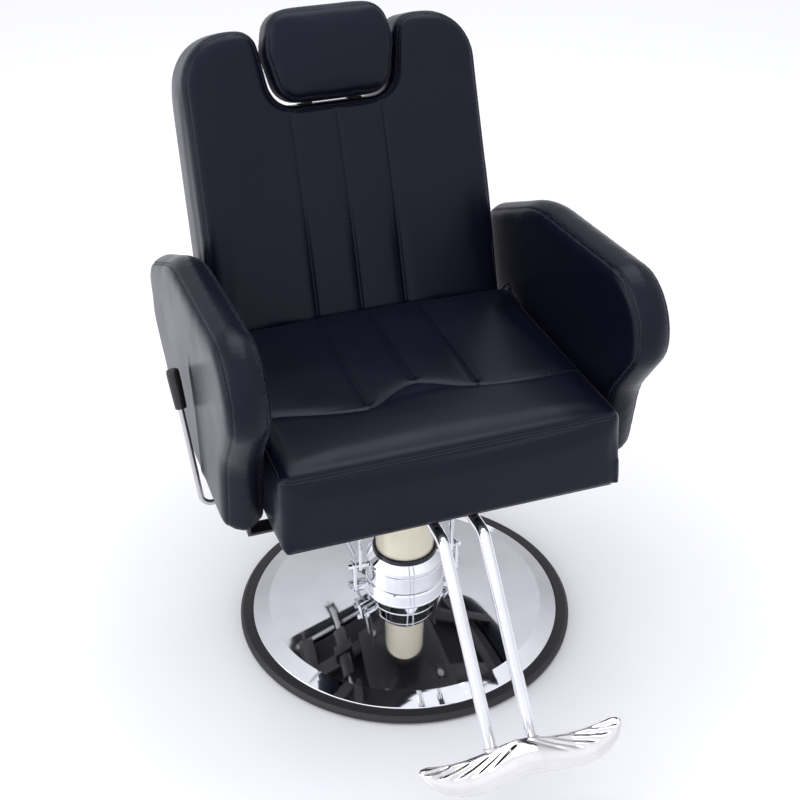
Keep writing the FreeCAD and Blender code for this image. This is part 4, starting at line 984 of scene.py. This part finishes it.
def arm_cover(side, sign):
    """An armrest: a full side panel on each face and a wide sewn band round the edge."""
    look = covers()
    node = "arm_pad_" + side
    low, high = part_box(node)
    swell = look.swell
    outer = high.x if sign > 0 else low.x
    inner = low.x if sign > 0 else high.x
    loop = respaced(slice_loop(node, 0, outer - sign * 12 * MM), 3 * MM, closed=True)
    points, faces = block(moved_in(loop, 0.3 * swell), 0, low.x + swell, high.x - swell,
                          9 * MM, 9 * MM, 7 * MM)
    arm = remeshed("arm_cover_" + side, points, faces, "leather", look.voxel)
    points = read_points(arm.data)
    outward = smoothstep((points[:, 0] * sign - (abs(inner) + 0.045)) / 0.02)
    ridge_line = curve_through([(0, 18 * MM, 0.586), (0, -4 * MM, 0.533), (0, -16 * MM, 0.430), (0, -10 * MM, 0.39)])
    ridge_y = np.interp(points[:, 2], ridge_line[::-1, 2], ridge_line[::-1, 1])
    ridge = np.exp(-((points[:, 1] - ridge_y) / (9 * MM)) ** 2)
    ridge *= smoothstep((0.62 - points[:, 2]) / 0.06) * smoothstep((points[:, 2] - 0.375) / 0.03)
    points[:, 0] += sign * outward * ridge * 3.0 * MM
    write_points(arm.data, points)

    def held(spots):
        return np.zeros(len(spots))

    blown_up(arm, [], held, 0.9 * swell, look.slack)
    refined(arm)
    seams = []
    for face, turn in ((outer - sign * 5 * MM, sign), (inner + sign * 5 * MM, -sign)):
        edge = to_space(moved_in(loop, 7 * MM), 0, face)
        rows = (3.3 * MM, -3.3 * MM)
        seams.append(Seam(edge, 0.75, 0.8, 0.5 * MM, 7 * MM, rows, closed=True))
    sew(arm, seams, "seat")
    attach(arm, "seat")
    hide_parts(node)


def stitch_tree(finish):
    """Geometry nodes: one thread stitch at every pitch along a line."""
    name = "Stitching"
    tree = bpy.data.node_groups.new(name, "GeometryNodeTree")
    face = tree.interface
    face.new_socket("Geometry", in_out="INPUT", socket_type="NodeSocketGeometry")
    sockets = {}
    for label in ("Pitch", "Length", "Thickness"):
        sockets[label] = face.new_socket(label, in_out="INPUT", socket_type="NodeSocketFloat")
    face.new_socket("Geometry", in_out="OUTPUT", socket_type="NodeSocketGeometry")
    nodes = Nodes(tree)
    given = nodes.add("NodeGroupInput")
    line = nodes.add("GeometryNodeMeshToCurve", Mesh=given.outputs["Geometry"])
    spaced = nodes.add("GeometryNodeResampleCurve", Curve=line.outputs[0])
    spaced.mode = "LENGTH"
    nodes.feed(spaced, "Length", given.outputs["Pitch"])
    facing = nodes.add("GeometryNodeInputNamedAttribute", {"data_type": "FLOAT_VECTOR"})
    facing.inputs["Name"].default_value = "facing"
    tangent = nodes.add("GeometryNodeInputTangent")
    upright = nodes.add("FunctionNodeAlignRotationToVector", {"axis": "Z"}, Vector=facing.outputs["Attribute"])
    turned_along = nodes.add("FunctionNodeAlignRotationToVector", {"axis": "X", "pivot_axis": "Z"},
                             Rotation=upright.outputs[0], Vector=tangent.outputs[0])
    thread = nodes.add("GeometryNodeMeshUVSphere", Segments=6, Rings=5, Radius=0.5)
    scale = nodes.add("ShaderNodeCombineXYZ", X=given.outputs["Length"], Y=given.outputs["Thickness"],
                      Z=given.outputs["Thickness"])
    placed = nodes.add("GeometryNodeInstanceOnPoints", Points=spaced.outputs[0], Instance=thread.outputs[0],
                       Rotation=turned_along.outputs[0], Scale=scale.outputs[0])
    real = nodes.add("GeometryNodeRealizeInstances", Geometry=placed.outputs[0])
    smooth = nodes.add("GeometryNodeSetShadeSmooth", Geometry=real.outputs[0])
    painted = nodes.add("GeometryNodeSetMaterial", Geometry=smooth.outputs[0])
    painted.inputs["Material"].default_value = FINISHES[finish]
    nodes.add("NodeGroupOutput", Geometry=painted.outputs[0])
    return tree, {label: socket.identifier for label, socket in sockets.items()}


def stitching():
    """The threads of every seam, one piece for each body."""
    look = covers()
    tree, sockets = stitch_tree("thread")
    for body, rows in STITCH_LINES.items():
        points, edges, facing = [], [], []
        for row, directions, closed in rows:
            start = len(points)
            points += [tuple(point) for point in row + directions * 0.15 * look.thread]
            facing += [tuple(direction) for direction in directions]
            edges += [(i, i + 1) for i in range(start, len(points) - 1)]
            if closed:
                edges.append((len(points) - 1, start))
        mesh = bpy.data.meshes.new("rows")
        mesh.from_pydata(points, edges, [])
        attribute = mesh.attributes.new("facing", "FLOAT_VECTOR", "POINT")
        attribute.data.foreach_set("vector", np.array(facing, np.float32).ravel())
        obj = link(bpy.data.objects.new("stitching_" + body, mesh))
        sewing = obj.modifiers.new("Stitching", "NODES")
        sewing.node_group = tree
        sewing[sockets["Pitch"]] = look.stitch_pitch
        sewing[sockets["Length"]] = look.stitch_length
        sewing[sockets["Thickness"]] = look.thread
        settle(obj)
        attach(obj, body)


# ---------------------------------------------------------------- hard pieces

TURNINGS = {
    "rubber_rim": ("rubber", "base", 1.5),
    "base_cover": ("chrome", "base", 1.5),
    "socket_ring": ("chrome", "base", 1.2),
    "retaining_ring": ("chrome", "base", 1.0),
    "clamp_collar": ("chrome", "base", 1.2),
    "pump_cylinder": ("ivory", "base", 0.3),
    "pump_head": ("frame_paint", "base", 1.0),
}


def paint_neck_dark_reflection(ring):
    """The narrow neck above the ring's step gets near-black metal instead of plating: a painted dark reflection."""
    ring.data.materials.append(FINISHES["neck_painted_reflection"])
    top = max(vertex.co.z for vertex in ring.data.vertices)
    for face in ring.data.polygons:
        if face.center.z > top - 9.2 * MM and face.center.xy.length < 59 * MM:
            face.material_index = 1


def half_section(node):
    """A round part's section on one side of its axis: a closed loop of (radius, height)."""
    section = slice_loop(node, 0, 0.0)
    if np.linalg.norm(section[0] - section[-1]) < 1e-6:
        section = section[:-1]
    if section[:, 0].min() > -1e-5 or section[:, 0].max() < 1e-5:
        return abs(section)
    start = np.nonzero((section[:, 0] > 0) & (np.roll(section[:, 0], 1) <= 0))[0][0]
    section = np.roll(section, -start, axis=0)
    section = section[section[:, 0] > 0]
    ends = [(1e-4, section[0][1]), (1e-4, section[-1][1])]
    return np.vstack([ends[:1], section, ends[1:]])


def turnings():
    """The round parts of the base and the pump, turned smooth from the frame's sections."""
    look = metal()
    for node, (finish, body, ease) in TURNINGS.items():
        profile = eased_corners(half_section(node), ease * look.turning_round)
        piece = turned(node + "_turned", profile, finish, look.turning_steps)
        if node == "retaining_ring":
            # the neck's near-black metal is a painted dark reflection
            paint_neck_dark_reflection(piece)
        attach(piece, body)
        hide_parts(node)


MACHINED = {
    "base": {"pedal_brackets": "chrome", "pedal_pins": "chrome", "bracket_bolts": "steel",
             "plunger_housing": "steel", "rod_wiper": "rubber"},
    "pedal": {"pedal_yoke": "chrome", "pedal_arm": "chrome", "pedal_pad": "rubber"},
    "plunger": {"pump_plunger": "steel"},
    "ram": {"ram_rod": "chrome", "thrust_washer": "bronze"},
    "seat": {"swivel_hub": "frame_paint", "mount_bolts": "steel", "side_rails": "frame_paint",
             "front_crossmember": "frame_paint", "rear_crossmember": "frame_paint",
             "arm_brackets": "frame_paint", "hinge_plate_left": "frame_paint",
             "hinge_plate_right": "frame_paint", "lock_cylinder": "frame_paint",
             "lock_clamp": "frame_paint", "lever_bearings": "frame_paint",
             "footrest_clamp": "frame_paint", "footrest_tube_left": "chrome",
             "footrest_tube_right": "chrome", "footplate_bolts": "steel"},
    "back": {"recline_shaft": "steel", "back_arm_left": "frame_paint", "back_arm_right": "frame_paint",
             "lock_crank": "frame_paint", "headrest_sleeves": "grip"},
    "headrest": {"headrest_posts": "chrome"},
    "lock_rod": {"lock_rod": "steel"},
    "lever": {"lever_rod": "steel"},
    "release_pin": {"release_pin": "steel"},
}
PLAIN = {"base_casting": "iron", "inner_cylinder": "steel", "piston": "steel", "seat_board": "dust_cloth",
         "arm_board_left": "plywood", "arm_board_right": "plywood", "back_board": "plywood",
         "headrest_board": "plywood", "hinge_bushes": "bronze"}


def machined(node, finish, body):
    """A hard part with its edges rounded over."""
    work = bmesh.new()
    work.from_mesh(frame["nodes"][node].data)
    bmesh.ops.remove_doubles(work, verts=work.verts, dist=1e-6)
    bmesh.ops.dissolve_limit(work, angle_limit=math.radians(0.4), verts=work.verts, edges=work.edges)
    mesh = bpy.data.meshes.new(node + "_finished")
    work.to_mesh(mesh)
    work.free()
    mesh.shade_smooth()
    mesh.materials.append(FINISHES[finish])
    obj = link(bpy.data.objects.new(node + "_finished", mesh))
    edge = obj.modifiers.new("Rounded edges", "BEVEL")
    edge.width = metal().edge_round
    edge.segments = 2
    edge.limit_method = "ANGLE"
    edge.angle_limit = math.radians(32)
    edge.harden_normals = True
    settle(obj)
    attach(obj, body)
    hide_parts(node)
    return obj


def hard_parts():
    """The frame, pins, levers and bolts, and new finishes on the parts inside."""
    for body, parts in MACHINED.items():
        for node, finish in parts.items():
            machined(node, finish, body)
    for node, finish in PLAIN.items():
        mesh = frame["nodes"][node].data
        mesh.materials.clear()
        mesh.materials.append(FINISHES[finish])


PLATE_STATIONS = (
    # share of the half width, crest y and z, front lip y and z, rear foot y and z
    (0.00, -510, 158, -554, 133, -484, 126),
    (0.12, -512, 157, -556, 132, -486, 127),
    (0.30, -516, 151, -558, 129, -490, 127),
    (0.50, -517, 147, -560, 127, -494, 127),
    (0.66, -516, 147.5, -558, 128, -497, 130),
    (0.80, -514, 150, -551, 132, -500, 136),
    (0.91, -513, 154, -541, 141, -503, 143),
    (0.97, -515, 156, -532, 148, -507, 149),
    (1.00, -518, 156, -524, 152, -513, 152),
)
PLATE_FLUTES = (
    ((14, -516), (70, -545), 1.0),
    ((30, -517), (98, -546), 1.2),
    ((56, -518), (124, -542), 1.2),
    ((88, -518), (146, -534), 1.0),
    ((118, -516), (158, -525), 0.8),
)


def plate_section(share):
    """The footplate's section at one station: a closed ring of (y, z) points."""
    table = np.array(PLATE_STATIONS) * MM
    row = [np.interp(share * MM, table[:, 0], table[:, i]) for i in range(1, 7)]
    crest_y, crest_z, lip_y, lip_z, rear_y, rear_z = row
    ring = [
        (crest_y, crest_z),
        (crest_y - 0.25 * (crest_y - lip_y), crest_z - 0.005 * (crest_z - lip_z)),
        (crest_y - 0.48 * (crest_y - lip_y), crest_z - 0.05 * (crest_z - lip_z)),
        (crest_y - 0.66 * (crest_y - lip_y), crest_z - 0.16 * (crest_z - lip_z)),
        (crest_y - 0.83 * (crest_y - lip_y), crest_z - 0.42 * (crest_z - lip_z)),
        (crest_y - 0.95 * (crest_y - lip_y), crest_z - 0.76 * (crest_z - lip_z)),
        (lip_y - 0.5 * MM, lip_z - 0.5 * MM),
        (lip_y + 0.5 * MM, lip_z - 3 * MM),
        (lip_y + 3 * MM, lip_z - 3.5 * MM),
        ((lip_y + rear_y) / 2, (lip_z + rear_z) / 2 - 1 * MM),
        (rear_y - 3 * MM, rear_z - 3.5 * MM),
        (rear_y, rear_z - 1 * MM),
        (rear_y - 0.40 * (rear_y - crest_y), rear_z + 0.50 * (crest_z - rear_z)),
        (crest_y + 3 * MM, crest_z - 1.0 * MM),
    ]
    return curve_through(ring + ring[:1], MM)


def footplate():
    """The wing-shaped footplate: a polished casting with flutes that fan out from its crest."""
    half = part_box("footplate")[1].x
    stations = 221
    around = 90
    points = []
    for station in range(stations):
        u = -math.cos(math.pi * station / (stations - 1))
        share = abs(u)
        ring = respaced(plate_section(share), MM, closed=True)
        at = np.linspace(0, len(ring), around, endpoint=False)
        closed_ring = np.vstack([ring, ring[:1]])
        ring = np.stack([np.interp(at, np.arange(len(closed_ring)), closed_ring[:, i]) for i in range(2)], axis=1)
        shrink = math.sqrt(max(0.0, 1 - share ** 40))
        middle = ring.mean(0)
        ring = middle + (ring - middle) * max(shrink, 0.02)
        crest = ring[:, 1].max()
        for y, z in ring:
            x = u * half
            upper = smoothstep((z - (crest - 26 * MM)) / (10 * MM)) * smoothstep((-505 * MM - y) / (6 * MM))
            cut = 0.0
            for (x0, y0), (x1, y1), width in PLATE_FLUTES:
                start, run = np.array((x0, y0)) * MM, np.array((x1 - x0, y1 - y0)) * MM
                place = np.array((abs(x), y)) - start
                along = float(np.clip(place @ run / (run @ run), 0, 1))
                gap = np.linalg.norm(place - along * run)
                taper = math.sin(math.pi * min(1.0, 0.12 + 0.88 * along)) ** 0.6
                cut = max(cut, taper * math.exp(-(gap / (3.6 * MM * width)) ** 2))
            points.append((x, y, z - 2.4 * MM * cut * upper))
    faces = [tuple(range(around)), tuple(range((stations - 1) * around, stations * around))]
    for station in range(stations - 1):
        here, there = station * around, (station + 1) * around
        for k in range(around):
            following = (k + 1) % around
            faces.append((here + k, here + following, there + following, there + k))
    plate = mesh_object("footplate_casting", points, faces, "cast")
    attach(plate, "seat")
    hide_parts("footplate")
    for side in ("left", "right"):
        foot_socket(side)


def foot_socket(side):
    """The socket behind the footplate that a footrest tube is pressed into."""
    low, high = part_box("footrest_tube_" + side)
    x = (low.x + high.x) / 2
    end = Vector((x, low.y + 7 * MM, low.z + 7 * MM))
    direction = Vector((0, 216, 244.5)).normalized()
    turn = direction.to_track_quat("Z", "Y").to_matrix().to_4x4()
    profile = [(12.4, -6), (12.4, 4), (11.8, 7), (10.3, 8), (10.3, -6)]
    profile = eased_corners(np.array(profile) * MM, 0.8 * MM)
    socket = turned("foot_socket_" + side, profile, "cast", 64)
    socket.data.transform(Matrix.Translation(end) @ turn)
    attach(socket, "seat")


def lever_grip():
    """The release lever's hand grip: a tapered plastic sleeve with a domed end."""
    points = read_points(frame["nodes"]["lever_grip"].data)
    middle = points.mean(0)
    _, _, ways = np.linalg.svd(points - middle, full_matrices=False)
    along = Vector(ways[0] * np.sign(ways[0][2]))
    reach = (points - middle) @ np.array(along)
    low, high = reach.min(), reach.max()
    radius = np.linalg.norm((points - middle) - reach[:, None] * np.array(along), axis=1).max()
    bottom = Vector(middle) + along * low
    length = high - low
    profile = [(0.55, 0.0), (0.86, 0.0), (0.90, 0.03), (0.98, 0.55), (1.0, 0.86), (0.97, 0.93), (0.86, 0.975),
               (0.6, 0.995), (0.3, 1.0), (0.02, 1.0), (0.02, 0.9), (0.5, 0.88), (0.52, 0.1)]
    profile = [(r * radius, z * length) for r, z in profile]
    grip = turned("lever_grip_sleeve", profile, "grip", 72)
    matrix = Matrix.Translation(bottom) @ along.to_track_quat("Z", "Y").to_matrix().to_4x4()
    grip.data.transform(matrix)
    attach(grip, "lever")
    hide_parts("lever_grip")


# ---------------------------------------------------------------- stage

def stage():
    """The floor, the light and the camera."""
    look = bpy.context.scene.chair_stage
    floor_mesh = bpy.data.meshes.new("floor")
    reach = 12.0
    floor_mesh.from_pydata([(-reach, -reach, 0), (reach, -reach, 0), (reach, reach, 0), (-reach, reach, 0)],
                           [], [(0, 1, 2, 3)])
    floor = link(bpy.data.objects.new("floor", floor_mesh))
    material, nodes, shader = new_material("studio_floor")
    spot = nodes.add("ShaderNodeTexCoord").outputs["Object"]
    cloud = nodes.add("ShaderNodeTexNoise", Vector=spot, Scale=1.5, Detail=2.0)
    pale = tuple(look.floor_color)
    nodes.feed(shader, "Base Color", nodes.blend_color(
        cloud.outputs["Fac"], rgba(pale), rgba(tuple(0.985 * part for part in pale))))
    nodes.feed(shader, "Roughness", nodes.ramp(cloud.outputs["Fac"], 0.0, 1.0, 0.7, 0.8))
    floor_mesh.materials.append(material)

    world = bpy.data.worlds.new("studio")
    world.use_nodes = True
    bpy.context.scene.world = world
    nodes = Nodes(world.node_tree)
    direction = nodes.add("ShaderNodeTexCoord").outputs["Generated"]
    parts = nodes.add("ShaderNodeSeparateXYZ", Vector=direction)
    behind = nodes.ramp(parts.outputs["Y"], -0.9, 0.5, look.front_light, look.rear_light)
    overhead = nodes.ramp(parts.outputs["Z"], 0.35, 0.9, 0.0, look.top_light)
    left = nodes.ramp(parts.outputs["X"], -0.3, -0.9, 0.0, look.left_light)
    backdrop = nodes.add("ShaderNodeBackground", Color=(0.93, 0.935, 1.0, 1.0),
                         Strength=nodes.math("ADD", nodes.math("ADD", behind, overhead), left))
    sky = nodes.add("ShaderNodeOutputWorld")
    world.node_tree.links.new(backdrop.outputs[0], sky.inputs["Surface"])

    def light(name, spot, aim, size, power, color):
        lamp = bpy.data.lights.new(name, "AREA")
        lamp.shape = "RECTANGLE"
        lamp.size, lamp.size_y = size
        lamp.energy = power
        lamp.color = color
        obj = link(bpy.data.objects.new(name, lamp))
        spot, aim = Vector(spot), Vector(aim)
        obj.matrix_world = Matrix.Translation(spot) @ (aim - spot).to_track_quat("-Z", "Y").to_matrix().to_4x4()

    light("top_softbox", (0.2, 0.9, 3.0), (0, 0, 0.4), (2.4, 2.0), 30, (0.96, 0.96, 1.0))
    light("left_softbox", (-2.8, 0.2, 1.5), (0, 0, 0.5), (2.0, 2.4), 16, (0.94, 0.95, 1.0))

    camera_data = bpy.data.cameras.new("view")
    camera_data.lens = look.lens
    camera_data.sensor_width = 36.0
    camera = link(bpy.data.objects.new("view", camera_data))
    turn, rise = look.camera_turn, look.camera_rise
    back = Vector((math.sin(turn) * math.cos(rise), -math.cos(turn) * math.cos(rise), math.sin(rise)))
    right = Vector((math.cos(turn), math.sin(turn), 0))
    up = back.cross(right)
    rotation = Matrix((right, up, back)).transposed().to_4x4()
    camera.matrix_world = Matrix.Translation(Vector(look.camera_spot)) @ rotation
    bpy.context.scene.camera = camera
    bpy.context.scene.view_settings.view_transform = "Standard"


# ---------------------------------------------------------------- operators

class CHAIR_OT_finishes(bpy.types.Operator):
    """Make the chair's materials"""

    bl_idname = "chair.finishes"
    bl_label = "Materials"

    def execute(self, context):
        make_finishes()
        return {"FINISHED"}


class CHAIR_OT_seat_cover(bpy.types.Operator):
    """Upholster the seat cushion"""

    bl_idname = "chair.seat_cover"
    bl_label = "Seat cover"

    def execute(self, context):
        seat_cover()
        return {"FINISHED"}


class CHAIR_OT_back_cover(bpy.types.Operator):
    """Upholster the back cushion and its rear panel"""

    bl_idname = "chair.back_cover"
    bl_label = "Back cover"

    def execute(self, context):
        back_cover()
        back_shell()
        return {"FINISHED"}


class CHAIR_OT_headrest_cover(bpy.types.Operator):
    """Upholster the headrest"""

    bl_idname = "chair.headrest_cover"
    bl_label = "Headrest cover"

    def execute(self, context):
        headrest_cover()
        return {"FINISHED"}


class CHAIR_OT_arm_covers(bpy.types.Operator):
    """Upholster both armrests"""

    bl_idname = "chair.arm_covers"
    bl_label = "Arm covers"

    def execute(self, context):
        arm_cover("left", -1)
        arm_cover("right", 1)
        return {"FINISHED"}


class CHAIR_OT_stitching(bpy.types.Operator):
    """Sew thread along every seam"""

    bl_idname = "chair.stitching"
    bl_label = "Stitching"

    def execute(self, context):
        stitching()
        return {"FINISHED"}


class CHAIR_OT_turnings(bpy.types.Operator):
    """Turn the round parts of the base and the pump"""

    bl_idname = "chair.turnings"
    bl_label = "Turned parts"

    def execute(self, context):
        turnings()
        return {"FINISHED"}


class CHAIR_OT_hard_parts(bpy.types.Operator):
    """Finish the frame, the levers and the bolts"""

    bl_idname = "chair.hard_parts"
    bl_label = "Hard parts"

    def execute(self, context):
        hard_parts()
        return {"FINISHED"}


class CHAIR_OT_footplate(bpy.types.Operator):
    """Cast the wing-shaped footplate"""

    bl_idname = "chair.footplate"
    bl_label = "Footplate"

    def execute(self, context):
        footplate()
        return {"FINISHED"}


class CHAIR_OT_lever_grip(bpy.types.Operator):
    """Mould the release lever's grip"""

    bl_idname = "chair.lever_grip"
    bl_label = "Lever grip"

    def execute(self, context):
        lever_grip()
        return {"FINISHED"}


class CHAIR_OT_stage(bpy.types.Operator):
    """Set up the floor, the light and the camera"""

    bl_idname = "chair.stage"
    bl_label = "Stage"

    def execute(self, context):
        stage()
        return {"FINISHED"}


STEPS = (
    CHAIR_OT_finishes, CHAIR_OT_seat_cover, CHAIR_OT_back_cover, CHAIR_OT_headrest_cover,
    CHAIR_OT_arm_covers, CHAIR_OT_stitching, CHAIR_OT_turnings, CHAIR_OT_hard_parts,
    CHAIR_OT_footplate, CHAIR_OT_lever_grip, CHAIR_OT_stage,
)
SETTINGS = {"chair_covers": CoverSettings, "chair_metal": MetalSettings, "chair_stage": StageSettings}


class CHAIR_PT_panel(bpy.types.Panel):
    """The chair's sizes, colours and building steps"""

    bl_idname = "CHAIR_PT_panel"
    bl_label = "Barber Chair"
    bl_space_type = "VIEW_3D"
    bl_region_type = "UI"
    bl_category = "Barber Chair"

    def draw(self, context):
        for name, group in SETTINGS.items():
            column = self.layout.column()
            for key in group.__annotations__:
                column.prop(getattr(context.scene, name), key)
        for step in STEPS:
            self.layout.operator(step.bl_idname)


def register():
    for group in (*SETTINGS.values(), *STEPS, CHAIR_PT_panel):
        bpy.utils.register_class(group)
    for name, group in SETTINGS.items():
        setattr(bpy.types.Scene, name, PointerProperty(type=group))


def unregister():
    for name in SETTINGS:
        delattr(bpy.types.Scene, name)
    for group in (CHAIR_PT_panel, *reversed(STEPS), *reversed(tuple(SETTINGS.values()))):
        bpy.utils.unregister_class(group)


def main():
    register()
    for step in STEPS:
        area, name = step.bl_idname.split(".")
        getattr(getattr(bpy.ops, area), name)()


if __name__ == "__main__":
    main()
